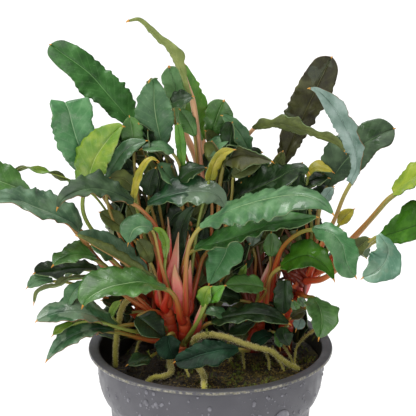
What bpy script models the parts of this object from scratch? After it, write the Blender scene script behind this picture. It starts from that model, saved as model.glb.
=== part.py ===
"""A bucephalandra, a small leathery water plant, rooted in the soil of a round nursery pot.

Units are metres and +Z is up. The origin is the centre of the pot's underside, which stands on the floor.
The plant's front looks along -Y. Routes are written in millimetres as (across, up, back), the way a person
sees the plant from slightly above: across is to the right, up is measured on the slanted view, back is
depth away from the viewer, and all three start at the centre of the pot's rim.
"""

import math

import bmesh
import bpy
from mathutils import Vector

MM = 0.001

# Pot
POT_HEIGHT = 80 * MM
RIM_RADIUS = 45 * MM
LIP_WIDTH = 3.6 * MM
LIP_THICKNESS = 1.8 * MM
POT_WALL = 0.9 * MM
POT_FLOOR = 1.4 * MM
COLLAR_RADIUS = 41.7 * MM
COLLAR_HEIGHT = 21.3 * MM
BODY_RADIUS = 37 * MM
BASE_RADIUS = 31.6 * MM
POT_STEPS = 40
DRAIN_RADIUS = 3.5 * MM
DRAIN_RING = 19 * MM
DRAIN_COUNT = 6

# Soil
SOIL_DEPTH = 6.6 * MM
SOIL_DIP = 6 * MM
SOIL_STEPS = 30
GAP = 0.3 * MM

# Plant
VIEW_TILT = math.radians(21)
LEAF_THICKNESS = 0.6 * MM
STALK_WIDTH = 1.5 * MM
TIP_WIDTH = 1.2 * MM
WIDEST_AT = 0.5
MARGIN_WAVE = 0.5 * MM
STALK_STEP = 13 * MM
BLADE_STEP = 5.5 * MM
FEWEST_BLADE_STEPS = 5
ROOT_CLEARANCE = 1.1 * MM

# Surface of each kind of piece: colour, roughness
FINISHES = {
    "pot_plastic": ((0.135, 0.130, 0.140), 0.5),
    "soil_peat": ((0.045, 0.032, 0.012), 0.95),
    "rhizome_bark": ((0.34, 0.09, 0.04), 0.6),
    "sheath_pink": ((0.60, 0.14, 0.13), 0.45),
    "root_fuzz": ((0.36, 0.34, 0.11), 0.9),
    "leaf_green": ((0.06, 0.19, 0.06), 0.4),
    "leaf_dark": ((0.018, 0.055, 0.022), 0.35),
    "leaf_pale": ((0.20, 0.33, 0.25), 0.4),
    "leaf_young": ((0.27, 0.42, 0.05), 0.45),
}


def spot(across, up, back):
    """World point of a place seen from the front, VIEW_TILT above the rim's plane."""
    rise = (up - back * math.sin(VIEW_TILT)) / math.cos(VIEW_TILT)
    return Vector((across * MM, back * MM, POT_HEIGHT + rise * MM))


def facing(right, up, front):
    """World direction of a surface that looks right, up and to the front of the same view."""
    direction = Vector((right, 0, 0))
    direction += up * Vector((0, math.sin(VIEW_TILT), math.cos(VIEW_TILT)))
    direction += front * Vector((0, -math.cos(VIEW_TILT), math.sin(VIEW_TILT)))
    return direction.normalized()


# Stems under the leaves: (x, y, height over the rim's plane, radius), all in millimetres
RHIZOMES = {
    "main": [(-11.4, 2, -6, 3.6), (-11.4, 2, -2, 3.8), (-11.6, 2, 0, 3.0)],
    "left": [(-13.6, 2.6, 1.6, 1.7), (-14.4, 2, 6, 2.2), (-15.6, 1.4, 11.5, 2.3), (-16.6, 0.8, 16.5, 1.9)],
    "middle": [(-9.4, 1.6, 1.4, 1.7), (-9.4, 1, 6, 2.2), (-9.8, 0.2, 10, 2.3), (-10.4, -0.6, 14, 2.0)],
    "back_left": [(-24, 15, -6, 3.0), (-23.5, 15, 2, 2.8), (-22.5, 14.5, 10, 2.4), (-21.5, 14, 17, 1.8)],
    "back": [(0, 19, -6, 3.0), (0, 19, 4, 2.8), (-0.5, 18.5, 13, 2.4), (-1, 18, 22, 1.8)],
    "right": [(16.5, 12.5, -6, 3.2), (17, 12, 2, 3.0), (18, 12, 8, 2.8), (19, 12, 14, 2.5)],
    "far_right": [(27, 9, -6, 2.9), (28, 9, 4, 2.7), (30.5, 8.5, 15, 2.5), (34, 8, 23, 2.3), (37, 8, 26, 1.7)],
}

# Pink sheaths that wrap the growing tips, written like the stems
SHEATHS = {
    "tall": [(-16.3, 0.6, 17.4, 1.8), (-14.8, 0.8, 25, 2.2), (-12.6, 1.4, 35, 1.5), (-11.6, 1.4, 44.5, 0.3)],
    "short": [(-10.6, -0.8, 15, 1.9), (-10.8, -2, 20, 2.5), (-12, -2.8, 26, 1.9), (-13.1, -3, 33.5, 0.3)],
    "right": [(19.2, 12, 15, 2.4), (20.5, 12, 21, 2.7), (21.6, 12, 27, 1.9), (22.7, 12, 32.5, 0.3)],
}

# Roots over the soil: (x, y, height over the rim's plane), in millimetres
ROOTS = {
    "long": [(-6.4, -4.4, 2.6), (-5, -6, 5.8), (-0.9, -9, 8.1), (2.4, -11, 8.6), (6.5, -13, 8.5),
             (12.5, -14, 6.5), (17.5, -14, 4.9), (22.3, -13.5, 3.4), (25.3, -13, 0.6), (29, -12, -2.5),
             (32.7, -11, -4.8)],
    "front": [(-9, -4.8, -4.4), (-5.5, -9, -4), (-3.9, -12, -4.4), (-2.4, -19, -4.8), (-2.4, -27, -5)],
    "bent": [(-14.6, -3.6, -3), (-14.9, -8, -3.8), (-14.4, -14, -4.5), (-17, -17.5, -4.9), (-21, -18, -5.2)],
    "left": [(-18.4, 4.4, 7), (-24, 3, 14.5), (-29, 1, 18.5), (-32.5, -2, 16), (-34, -4, 9), (-34.9, -5, 2),
             (-35, -6, -6)],
}
ROOT_RADIUS = 1.2

# Leaves: root says the stem, how far up it and to which side (degrees from the right, turning to the back)
LEAVES = [
    # Upper left
    dict(name="leaf_upper_left", finish="leaf_green", root=("back_left", 0.95, 120),
         stalk=[(-22, 48, 19), (-24, 66, 19)], face=(0.15, 0.35, 0.9), width=13.5,
         blade=[(-27, 79, 19), (-31.2, 85, 20), (-36.7, 91.5, 22), (-43.4, 99.3, 25), (-54.4, 107.8, 30),
                (-59.8, 112, 33)]),
    dict(name="leaf_left_folded_tip", finish="leaf_pale", root=("back_left", 0.85, 165),
         stalk=[(-30, 40, 12), (-38, 53, 11)], face=(-0.1, 0.2, 1), width=16,
         blade=[(-43, 61, 11), (-46.7, 70.5, 11), (-48.9, 75.6, 11), (-51.1, 81.9, 12), (-52.2, 88.5, 14),
                (-52.6, 90, 17)]),
    dict(name="leaf_left_young", finish="leaf_young", root=("back_left", 0.95, 230),
         stalk=[(-30, 30, 8), (-41, 40, 6), (-46.5, 48.5, 5)], face=(-0.35, 0.3, 1), width=11.8,
         blade=[(-47.2, 56, 5), (-44.5, 63.5, 5), (-41.9, 69.7, 5), (-37.1, 76, 5), (-32.4, 80.6, 6)]),
    dict(name="leaf_left_long", finish="leaf_pale", root=("back_left", 0.6, 215),
         stalk=[(-34, 24, 8), (-44, 34.5, 5), (-49, 41, 2)], face=(0, 0.75, 0.65), width=11,
         blade=[(-51.5, 45, 1), (-57, 48.3, 0), (-64.2, 51.3, -2), (-70, 53.9, -3), (-77.7, 54, -5),
                (-87, 51, -8)]),
    dict(name="leaf_left_far", finish="leaf_green", root=("back_left", 0.75, 190),
         stalk=[(-32, 27, 14), (-44, 39, 13), (-54, 48, 10)], face=(0.1, 0.45, 0.9), width=13,
         blade=[(-62, 53.5, 8), (-69, 57.5, 8), (-77.7, 61, 8), (-84, 63, 9), (-90, 64, 10)]),
    dict(name="leaf_left_twisted", finish="leaf_young", root=("back_left", 0.6, 150),
         stalk=[(-32, 38, 19), (-42, 54.5, 18)], face=(0, 0.4, 0.9), width=3.4,
         blade=[(-48, 59.4, 18), (-55.5, 62.4, 18), (-59.2, 63.8, 18), (-66.8, 66, 18), (-73.8, 63.8, 18)]),
    dict(name="leaf_left_low_green", finish="leaf_green", root=("back_left", 0.5, 240),
         stalk=[(-28, 16, 5), (-36, 27, 2)], face=(0, 0.8, 0.6), width=8,
         blade=[(-42, 32.5, 0), (-46, 34, -2), (-51.1, 33.8, -4), (-57.7, 30.3, -8)]),
    dict(name="leaf_left_low_dark", finish="leaf_dark", root=("back_left", 0.4, 205),
         stalk=[(-30, 14, 10), (-37, 24, 8)], face=(0, 0.8, 0.6), width=8.5,
         blade=[(-42, 28.5, 7), (-50, 28.6, 5), (-57.4, 27.7, 3), (-65, 26.5, 0)]),
    # Top
    dict(name="leaf_shield", finish="leaf_pale", root=("back", 0.95, 215),
         stalk=[(-6, 42, 15), (-13, 62, 14)], face=(-0.1, 0.3, 1), width=14,
         blade=[(-17.5, 72.5, 14), (-19.7, 82.7, 14), (-20.6, 88.9, 14), (-20.6, 94, 13), (-20.5, 97.8, 11.5)]),
    dict(name="leaf_top_behind", finish="leaf_green", root=("back", 0.8, 130),
         stalk=[(-4, 40, 27), (-8, 68, 29)], face=(0, 0.3, 1), width=10,
         blade=[(-10.5, 80, 30), (-11.8, 88, 30), (-13, 95, 29), (-14.6, 101.5, 28), (-15.8, 104, 27)]),
    dict(name="leaf_top_twisted", finish="leaf_young", root=("back", 0.95, 265),
         stalk=[(-2.5, 50, 16), (-3.9, 68.6, 16), (-5.4, 83.4, 16)], face=(0.5, 0.55, -0.65), width=9.5,
         blade=[(-6.8, 90.8, 16), (-8.7, 95.2, 16), (-10.9, 101.8, 15), (-14.2, 108.5, 14), (-21.2, 114.5, 13),
                (-26, 119, 12), (-30.6, 118.5, 11)]),
    dict(name="leaf_top_bright", finish="leaf_green", root=("back", 0.9, 100),
         stalk=[(1, 45, 26), (-0.5, 66, 26)], face=(0.2, 0.3, 1), width=10,
         blade=[(-2.4, 76, 25), (-5, 83.4, 24), (-6.2, 89.5, 24), (-8.3, 96.3, 24), (-10.8, 104.6, 23)]),
    dict(name="leaf_top_right", finish="leaf_green", root=("back", 0.85, 45),
         stalk=[(4, 45, 23), (2, 64, 22)], face=(0.1, 0.4, 0.9), width=11.5,
         blade=[(0.6, 75, 21), (1.6, 80, 20), (3.1, 86.3, 18), (5, 90.5, 15), (6.4, 91.5, 13)]),
    dict(name="leaf_rolled_margin", finish="leaf_dark", root=("back", 0.9, 300),
         stalk=[(2.5, 40, 14), (3.5, 60, 13)], face=(0, 0.5, 0.9), width=11,
         blade=[(5.2, 68, 12), (11, 71, 11), (17, 70.5, 9), (23.4, 67.5, 6)]),
    # Right
    dict(name="leaf_arching", finish="leaf_green", root=("right", 0.9, 110),
         stalk=[(19, 36, 19), (14, 58, 20), (12, 74, 19)], face=(0, 0.85, -0.5), width=9,
         blade=[(15.9, 79.9, 17), (25.6, 81.8, 13), (31.9, 80.6, 10), (40, 76.8, 6), (49, 73, 1)]),
    dict(name="leaf_tall_dark", finish="leaf_dark", root=("right", 0.95, 60),
         stalk=[(23, 38, 19), (24, 55, 22)], face=(0.1, 0.2, 1), width=13,
         blade=[(25, 64.5, 22), (28.6, 72, 22), (31.8, 79.5, 22), (36.4, 89, 22), (41, 99, 22), (45.3, 107, 21)]),
    dict(name="leaf_white_midrib", finish="leaf_dark", root=("back", 0.6, 335),
         stalk=[(6, 28, 15), (6.5, 44, 12)], face=(-0.1, 0.7, 0.7), width=11.5,
         blade=[(7, 51.5, 10), (10.9, 55.5, 9), (20.5, 59.5, 7), (24.8, 62, 6), (30, 65.2, 4), (36.4, 64, 2)]),
    dict(name="leaf_dark_drooping", finish="leaf_dark", root=("right", 0.75, 300),
         stalk=[(22, 25, 5)], face=(0.1, 0.6, 0.8), width=10,
         blade=[(26, 29.5, 2), (31, 32.8, -1), (35.4, 33.6, -4), (41, 30, -8), (45.4, 24, -11)]),
    dict(name="leaf_green_drooping", finish="leaf_green", root=("right", 0.95, 330),
         stalk=[(24, 30.3, 7), (27, 37.3, 1), (32.3, 41.7, -5)], face=(0.35, 0.5, 0.8), width=11.5,
         blade=[(37.5, 43.6, -10), (44, 42, -14), (48, 37.3, -17), (49.8, 31.7, -19), (52.6, 25.6, -20)]),
    dict(name="leaf_hanging_dark", finish="leaf_dark", root=("far_right", 0.5, 250),
         stalk=[(28.2, 22.5, 1)], face=(-0.2, 0.2, 1), width=6.5,
         blade=[(27.3, 24.4, -2), (27.1, 19.5, -3.5), (27, 15.5, -4), (26.8, 11.4, -4)]),
    # Far right
    dict(name="leaf_right_pale", finish="leaf_pale", root=("far_right", 0.85, 290),
         stalk=[(41, 38, -1), (45.5, 47, -3), (48, 54.5, -4)], face=(-0.6, 0.2, 0.9), width=10,
         blade=[(51, 60, -5), (53.5, 67, -6), (52.3, 74, -7), (49.3, 80, -8), (44.1, 88.4, -8), (37, 94.6, -8)]),
    dict(name="leaf_right_round", finish="leaf_dark", root=("far_right", 0.9, 60),
         stalk=[(39, 40, 12), (40, 52, 12)], face=(-0.1, 0.35, 1), width=14.5,
         blade=[(43, 60, 11), (49, 67.5, 11), (55.5, 73.8, 11), (61, 77.6, 11), (67.6, 80.4, 12)]),
    dict(name="leaf_right_bright", finish="leaf_young", root=("far_right", 0.97, 350),
         stalk=[(46, 33, 5), (52, 39, 4), (59, 47, 3), (65, 54, 2)], face=(-0.2, 0.8, 0.6), width=11,
         blade=[(68, 57, 2), (72.9, 61.6, 1), (77, 63.8, 0), (84, 66, -2), (91, 66, -5)]),
    dict(name="leaf_right_edge", finish="leaf_green", root=("far_right", 0.8, 325),
         stalk=[(46, 30, 0), (55, 35.5, -3)], face=(0, 0.6, 0.8), width=13,
         blade=[(61.6, 39.6, -5), (68, 42, -7), (75.8, 44.5, -10), (83, 45.5, -13), (90, 44, -16)]),
    dict(name="leaf_right_crumpled", finish="leaf_pale", root=("far_right", 0.7, 310),
         stalk=[(42, 25, -3), (53, 34, -9)], face=(0.3, 0.35, 0.9), width=11.5,
         blade=[(61.4, 40.4, -15), (65.4, 37, -17), (65.4, 33, -18.5), (61, 28.4, -20), (55.2, 26, -21)]),
    dict(name="leaf_over_rim", finish="leaf_green", root=("far_right", 0.55, 290),
         stalk=[(35, 18.6, -3)], face=(0.1, 0.4, 0.9), width=13,
         blade=[(38.2, 18, -11), (40, 14.5, -15), (40.8, 10, -18), (40.4, 6.4, -20), (39.6, 2.8, -21)]),
    # Middle, in front
    dict(name="leaf_long_right", finish="leaf_pale", root=("middle", 0.95, 290),
         stalk=[(-9, 27, -6), (-8, 37, -7)], face=(0, 0.75, 0.65), width=12.5,
         blade=[(-4.4, 44, -8), (7.2, 50.2, -12), (22, 54.8, -18), (31, 55.6, -23), (40.4, 52.6, -28),
                (45.3, 48, -31)]),
    dict(name="leaf_long_right_lower", finish="leaf_green", root=("middle", 0.9, 20),
         stalk=[(-10, 26, 2), (-9, 33, 0)], face=(0, 0.7, 0.7), width=10.5,
         blade=[(-5.6, 36.4, -2), (2, 37.8, -5), (9, 40.4, -7), (19.4, 44, -10), (30, 46.6, -13),
                (39.8, 47.8, -16)]),
    dict(name="leaf_hanging_middle", finish="leaf_green", root=("middle", 0.8, 55),
         stalk=[(-5, 25, 6), (-2, 34, 6)], face=(-0.1, 0.4, 0.9), width=11,
         blade=[(4, 36.4, 4), (4.4, 33, 1), (2.6, 28.8, -1), (0.4, 25, -3), (-0.6, 21.6, -4)]),
    dict(name="leaf_left_waxy", finish="leaf_dark", root=("left", 0.95, 200),
         stalk=[(-18.4, 32, -1), (-19.4, 43, -2), (-23.8, 48.6, -3)], face=(0, 0.7, 0.7), width=10.5,
         blade=[(-28.6, 53, -4), (-33.4, 55.7, -5), (-38.9, 57.6, -6), (-44.5, 57.9, -8), (-50, 56.6, -10),
                (-56.2, 51.6, -13)]),
    dict(name="leaf_left_channel", finish="leaf_dark", root=("left", 0.85, 250),
         stalk=[(-18, 21.5, -5), (-22.5, 28.4, -6)], face=(0, 0.6, 0.8), width=9, fold=45,
         blade=[(-26, 33, -7), (-33.4, 37.5, -8), (-40.8, 40.3, -10), (-49.8, 41.6, -13)]),
    dict(name="leaf_left_main", finish="leaf_green", root=("middle", 0.7, 250),
         stalk=[(-11.6, 13.5, -7), (-13.5, 19, -9)], face=(0, 0.7, 0.7), width=12,
         blade=[(-16.6, 21.6, -10), (-20.5, 23, -12), (-26, 23.8, -14), (-31.5, 23.4, -16), (-36.7, 22.2, -18),
                (-42, 19.8, -20), (-47, 15.4, -22)]),
    dict(name="leaf_left_glossy", finish="leaf_dark", root=("left", 0.35, 200),
         stalk=[(-22, 7.5, -3), (-28, 8, -7)], face=(0, 0.8, 0.6), width=10,
         blade=[(-34, 8.4, -10), (-40.8, 11, -12), (-48.2, 13, -14), (-55.5, 12.6, -15), (-63.6, 9.6, -17)]),
    dict(name="leaf_low_left", finish="leaf_green", root=("left", 0.05, 215),
         stalk=[(-20.5, 1.8, -4), (-29.5, 4, -9)], face=(0, 0.75, 0.65), width=9.5,
         blade=[(-36, 6.2, -13), (-42.6, 6.4, -16), (-50, 4, -19), (-55.5, 0.4, -21), (-60.2, -5, -23)]),
    dict(name="leaf_round_dark", finish="leaf_dark", root=("left", 0.6, 205),
         stalk=[(-21, 12.6, -3)], face=(0.1, 0.6, 0.8), width=9,
         blade=[(-27, 11.6, -6), (-24, 9.4, -8), (-20.4, 6.4, -9.5), (-17, 3, -10)]),
    dict(name="leaf_round_small", finish="leaf_dark", root=("main", 0.9, 250),
         stalk=[(-14, 4.4, -9)], face=(-0.2, 0.5, 0.9), width=8,
         blade=[(-15.6, 4.2, -12), (-15.4, 1.4, -13.5), (-14.4, -1.4, -14.5), (-12.6, -4.4, -15)]),
    dict(name="leaf_low_front", finish="leaf_dark", root=("right", 0.3, 270),
         stalk=[(14, 1.2, 2), (14, -2, -8), (13.5, -2.6, -14)], face=(0, 0.5, 0.85), width=9.5,
         blade=[(11, -0.6, -18), (5, -0.6, -19.5), (-3.5, -2.8, -20.5), (-8.3, -4.6, -21), (-13.4, -5.6, -21.5)]),
    dict(name="leaf_grey_sheen", finish="leaf_pale", root=("left", 0.97, 130),
         stalk=[(-19, 32, 5), (-24, 45, 4)], face=(0.05, 0.6, 0.8), width=11,
         blade=[(-23, 52.4, 4), (-16.8, 55.4, 3), (-9.4, 56.8, 2), (-2, 57, 1), (2.8, 55.4, 0),
                (5.4, 51.8, -1)]),
    dict(name="leaf_low_middle", finish="leaf_dark", root=("main", 0.9, 0),
         stalk=[(-4, 6, -1)], face=(0, 0.75, 0.65), width=9.5,
         blade=[(0.4, 9.2, -3), (5.3, 10.9, -5), (14.2, 12.4, -8), (22, 11.8, -10), (29.2, 8.2, -12)]),
    # Behind
    dict(name="leaf_rear_left", finish="leaf_green", root=("back_left", 0.7, 75),
         stalk=[(-24, 24, 19)], face=(0, 0.9, -0.1), width=12,
         blade=[(-27, 34, 26), (-31, 41.5, 35), (-34, 43.5, 45), (-36, 40.5, 54)]),
    dict(name="leaf_rear_low_left", finish="leaf_dark", root=("back_left", 0.55, 140),
         stalk=[(-28, 17, 20)], face=(0, 0.9, 0.1), width=12,
         blade=[(-34, 22.5, 25), (-41, 27, 31), (-48, 28, 37), (-54, 25, 42)]),
    dict(name="leaf_rear_middle", finish="leaf_green", root=("back", 0.7, 75),
         stalk=[(3, 24, 24)], face=(0, 0.9, -0.1), width=13,
         blade=[(5, 37, 29), (7, 47.5, 36), (9, 51.5, 45), (10, 49.5, 55)]),
    dict(name="leaf_rear_right", finish="leaf_green", root=("right", 0.55, 80),
         stalk=[(24.5, 24, 21)], face=(0, 0.9, -0.1), width=12,
         blade=[(27, 38, 24), (32, 46.5, 32), (35, 49, 41), (37, 46, 50)]),
    dict(name="leaf_rear_far_right", finish="leaf_dark", root=("far_right", 0.8, 100),
         stalk=[(38, 24.5, 14)], face=(0, 0.9, 0), width=12,
         blade=[(43, 31, 20), (50, 35.5, 28), (54, 36, 36), (58, 32.5, 44)]),
]


def blend(first, second, share):
    """The point or number that lies this share of the way from the first to the second."""
    return first + (second - first) * share


def rounded(points, steps=10):
    """A smooth curve through the points (Catmull-Rom), with this many steps in each span."""
    ends = [2 * points[0] - points[1], *points, 2 * points[-1] - points[-2]]
    curve = [points[0]]
    for before, start, end, after in zip(ends, ends[1:], ends[2:], ends[3:]):
        for step in range(1, steps + 1):
            t = step / steps
            curve.append(0.5 * (2 * start + (end - before) * t
                                + (2 * before - 5 * start + 4 * end - after) * t ** 2
                                + (3 * start - before - 3 * end + after) * t ** 3))
    return curve


def along(curve, distances):
    """Points of the curve at these distances from its start, in rising order."""
    found = []
    index = 0
    passed = 0.0
    for distance in distances:
        while True:
            length = (curve[index + 1] - curve[index]).length
            if passed + length >= distance or index == len(curve) - 2:
                break
            passed += length
            index += 1
        found.append(blend(curve[index], curve[index + 1], min(1.0, (distance - passed) / length)))
    return found


def length_of(curve):
    return sum((end - start).length for start, end in zip(curve, curve[1:]))


def stem_point(x, y, height):
    return Vector((x * MM, y * MM, POT_HEIGHT + height * MM))


def root_of(stem, share, side):
    """Where a stalk leaves a stem: the point just off its bark, and the direction that points away from it."""
    rows = RHIZOMES[stem]
    place = share * (len(rows) - 1)
    index = min(int(place), len(rows) - 2)
    axis = blend(stem_point(*rows[index][:3]), stem_point(*rows[index + 1][:3]), place - index)
    radius = blend(rows[index][3], rows[index + 1][3], place - index) * MM
    outward = Vector((math.cos(math.radians(side)), math.sin(math.radians(side)), 0))
    return axis + outward * (radius + ROOT_CLEARANCE), outward


def leaf_halfwidth(t, width):
    """Half the blade's width at share t of its length: it widens slowly from the neck and ends round."""
    if t < WIDEST_AT:
        swell = (1 - (1 - t / WIDEST_AT) ** 2) ** 0.7
    else:
        swell = (1 - ((t - WIDEST_AT) / (1 - WIDEST_AT)) ** 2.8) ** 0.5
    ends = blend(STALK_WIDTH, TIP_WIDTH, t) / 2
    return max(ends, swell * width * MM / 2)


def make_leaf(name, finish, root, stalk, blade, width, face, fold=12):
    """One leaf as a strip: a stalk from its stem to the blade's neck, then the blade, made solid by Solidify."""
    start, outward = root_of(*root)
    route = [start, start + outward * 2 * MM + Vector((0, 0, 1.6 * MM))]
    route += [spot(*point) for point in stalk]
    neck_index = len(route)
    route += [spot(*point) for point in blade]
    curve = rounded(route)
    total = length_of(curve)
    neck = length_of(curve[:neck_index * 10 + 1])
    stalk_steps = math.ceil(neck / STALK_STEP)
    blade_steps = max(FEWEST_BLADE_STEPS, round((total - neck) / BLADE_STEP))
    distances = [neck * step / stalk_steps for step in range(stalk_steps)]
    distances += [blend(neck, total, step / blade_steps) for step in range(blade_steps + 1)]
    places = along(curve, distances)
    upper = facing(*face)
    lift = math.sin(math.radians(fold))
    spread = math.cos(math.radians(fold))
    mesh = bpy.data.meshes.new(name)
    shape = bmesh.new()
    bmesh.ops.create_grid(shape, x_segments=2, y_segments=len(places) - 1, size=1)
    shape.verts.ensure_lookup_table()
    for vert in shape.verts:
        column = round(vert.co.x)
        row = round((vert.co.y + 1) / 2 * (len(places) - 1))
        ahead = places[min(row + 1, len(places) - 1)] - places[max(row - 1, 0)]
        side = ahead.cross(upper).normalized()
        normal = side.cross(ahead).normalized()
        t = max(0.0, (row - stalk_steps) / blade_steps)
        half = leaf_halfwidth(t, width)
        wave = MARGIN_WAVE * (-1) ** row * min(1.0, 4 * t * (1 - t)) * column
        vert.co = (places[row] + side * column * half * spread
                   + normal * abs(column) * (half * lift + wave))
    bmesh.ops.recalc_face_normals(shape, faces=shape.faces)
    shape.to_mesh(mesh)
    shape.free()
    leaf = add_object(name, mesh, finish)
    solid = leaf.modifiers.new("thickness", "SOLIDIFY")
    solid.thickness = LEAF_THICKNESS
    solid.offset = 0
    return leaf


def add_object(name, data, finish):
    """An object for one piece, in the plant's collection, with its finish."""
    piece = bpy.data.objects.new(name, data)
    data.materials.append(material(finish))
    bpy.data.collections["bucephalandra"].objects.link(piece)
    return piece


def material(finish):
    if finish in bpy.data.materials:
        return bpy.data.materials[finish]
    colour, roughness = FINISHES[finish]
    made = bpy.data.materials.new(finish)
    made.use_nodes = True
    surface = made.node_tree.nodes["Principled BSDF"]
    surface.inputs["Base Color"].default_value = (*colour, 1)
    surface.inputs["Roughness"].default_value = roughness
    surface.inputs["Metallic"].default_value = 0
    return made


def make_tube(name, finish, points, radii, sides=2):
    """A stem, sheath or root: a curve through the points with its own radius at each."""
    curve = bpy.data.curves.new(name, "CURVE")
    curve.dimensions = "3D"
    curve.bevel_depth = MM
    curve.bevel_resolution = sides
    curve.use_fill_caps = True
    line = curve.splines.new("POLY")
    line.points.add(len(points) - 1)
    for vertex, place, radius in zip(line.points, points, radii):
        vertex.co = (*place, 1)
        vertex.radius = radius
    return add_object(name, curve, finish)


def turned(name, profile, steps):
    """A mesh turned round the Z axis from (radius, height) points, by a Screw modifier."""
    mesh = bpy.data.meshes.new(name)
    points = [(radius, 0, height) for radius, height in profile]
    mesh.from_pydata(points, [(index, index + 1) for index in range(len(points) - 1)], [])
    guide = bpy.data.objects.new(name, mesh)
    bpy.data.collections["helpers"].objects.link(guide)
    screw = guide.modifiers.new("turn", "SCREW")
    screw.steps = steps
    screw.render_steps = steps
    screw.use_merge_vertices = True
    screw.merge_threshold = 0.00001
    graph = bpy.context.evaluated_depsgraph_get()
    made = bpy.data.meshes.new_from_object(guide.evaluated_get(graph))
    bpy.data.objects.remove(guide)
    return made


def outer_wall():
    """The pot's outer side under its flange, top to bottom: a straight collar, a round step, a slight taper."""
    top = POT_HEIGHT - LIP_THICKNESS
    step = POT_HEIGHT - COLLAR_HEIGHT
    drop = 13 * MM
    wall = [(COLLAR_RADIUS, top), (COLLAR_RADIUS - 0.2 * MM, step + drop)]
    for part in range(1, 5):
        turn = math.pi / 2 * part / 4
        wall.append((blend(BODY_RADIUS, COLLAR_RADIUS - 0.2 * MM, math.cos(turn)),
                     step + drop * (1 - math.sin(turn)) ** 0.8))
    wall.append((BASE_RADIUS, 1.2 * MM))
    return wall


def make_pot():
    wall = outer_wall()
    base = wall.pop()
    inner = [(radius - POT_WALL, height) for radius, height in reversed(wall)]
    round_edge = 0.6 * MM
    profile = [(0, POT_FLOOR), (base[0] - POT_WALL - MM, POT_FLOOR), (base[0] - POT_WALL, POT_FLOOR + MM)]
    profile += inner
    profile += [(RIM_RADIUS - LIP_WIDTH - 0.3 * MM, POT_HEIGHT - round_edge),
                (RIM_RADIUS - LIP_WIDTH, POT_HEIGHT),
                (RIM_RADIUS - round_edge, POT_HEIGHT),
                (RIM_RADIUS, POT_HEIGHT - round_edge),
                (RIM_RADIUS, POT_HEIGHT - LIP_THICKNESS + round_edge),
                (RIM_RADIUS - round_edge, POT_HEIGHT - LIP_THICKNESS)]
    profile += wall
    profile += [base, (base[0] - 0.8 * MM, 0), (0, 0)]
    pot = add_object("pot", turned("pot", profile, POT_STEPS), "pot_plastic")
    for index in range(DRAIN_COUNT):
        turn = math.tau * index / DRAIN_COUNT
        cutter = add_cutter(index, DRAIN_RING * math.cos(turn), DRAIN_RING * math.sin(turn))
        cut = pot.modifiers.new(cutter.name, "BOOLEAN")
        cut.object = cutter
    return pot


def add_cutter(index, x, y):
    mesh = bpy.data.meshes.new("drain_cutter")
    shape = bmesh.new()
    bmesh.ops.create_cone(shape, cap_ends=True, segments=8, radius1=DRAIN_RADIUS, radius2=DRAIN_RADIUS,
                          depth=4 * POT_FLOOR)
    shape.to_mesh(mesh)
    shape.free()
    cutter = bpy.data.objects.new(f"drain_cutter_{index + 1}", mesh)
    cutter.location = (x, y, 0)
    cutter.hide_render = True
    cutter.display_type = "WIRE"
    bpy.data.collections["helpers"].objects.link(cutter)
    return cutter


def soil_height(x, y):
    """The soil's surface: nearly flat, with a hollow at the left."""
    slope = min(1.0, max(0.0, (-x - 24 * MM) / (9 * MM)))
    hollow = SOIL_DIP * slope * slope * (3 - 2 * slope)
    lumps = 0.5 * MM * math.sin(x / (6 * MM)) * math.cos(y / (7 * MM))
    return POT_HEIGHT - SOIL_DEPTH - hollow + lumps


def inner_radius(height):
    """How far out the soil may reach at this height, inside the pot's wall."""
    wall = outer_wall()
    for (upper, top), (lower, bottom) in zip(wall, wall[1:]):
        if bottom <= height <= top:
            return blend(lower, upper, (height - bottom) / (top - bottom)) - POT_WALL - GAP
    return wall[-1][0] - POT_WALL - GAP


def make_soil():
    inside = [(radius - POT_WALL - GAP, height) for radius, height in outer_wall()]
    low = POT_HEIGHT - SOIL_DEPTH - SOIL_DIP - 2 * MM
    rim = inside[0][0] - 0.2 * MM
    rings = 5
    profile = [(rim * ring / rings, POT_HEIGHT - SOIL_DEPTH) for ring in range(rings + 1)]
    profile += [point for point in inside if point[1] < low]
    profile[-1] = (profile[-1][0] - MM, POT_FLOOR + GAP)
    profile.append((0, POT_FLOOR + GAP))
    mesh = turned("soil", profile, SOIL_STEPS)
    for vert in mesh.vertices:
        if vert.co.z > POT_HEIGHT - SOIL_DEPTH - MM / 2:
            vert.co.z = soil_height(vert.co.x, vert.co.y)
            reach = (inner_radius(vert.co.z) - 0.2 * MM) / max(vert.co.xy.length, MM)
            vert.co.xy *= min(1.0, reach)
    return add_object("soil", mesh, "soil_peat")


def make_stems_and_roots():
    for name, rows in RHIZOMES.items():
        tube = [stem_point(*row[:3]) for row in rows]
        make_tube("rhizome_" + name, "rhizome_bark", tube, [row[3] for row in rows])
    for name, rows in SHEATHS.items():
        tube = [stem_point(*row[:3]) for row in rows]
        make_tube("sheath_" + name, "sheath_pink", tube, [row[3] for row in rows])
    for name, rows in ROOTS.items():
        curve = rounded([stem_point(*row) for row in rows])
        count = round(length_of(curve) / (3.5 * MM))
        tube = along(curve, [length_of(curve) * step / count for step in range(count + 1)])
        make_tube("root_" + name, "root_fuzz", tube, [ROOT_RADIUS] * len(tube), sides=1)


def main():
    for old in list(bpy.data.objects):
        bpy.data.objects.remove(old)
    for name in ("bucephalandra", "helpers"):
        bpy.context.scene.collection.children.link(bpy.data.collections.new(name))
    make_pot()
    make_soil()
    make_stems_and_roots()
    for leaf in LEAVES:
        make_leaf(**leaf)


main()
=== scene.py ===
# %% [markdown]
# # A bucephalandra in its nursery pot
# The object is a small water plant with leathery, wavy leaves on red stalks. It grows from short stems that
# creep over the soil of a grey plastic pot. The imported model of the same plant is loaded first. It holds
# each piece at its real size and place, so everything made below is laid out in the same metres.

# %% Load the plant's solids
import math
import random

import bpy
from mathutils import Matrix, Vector, noise


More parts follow.
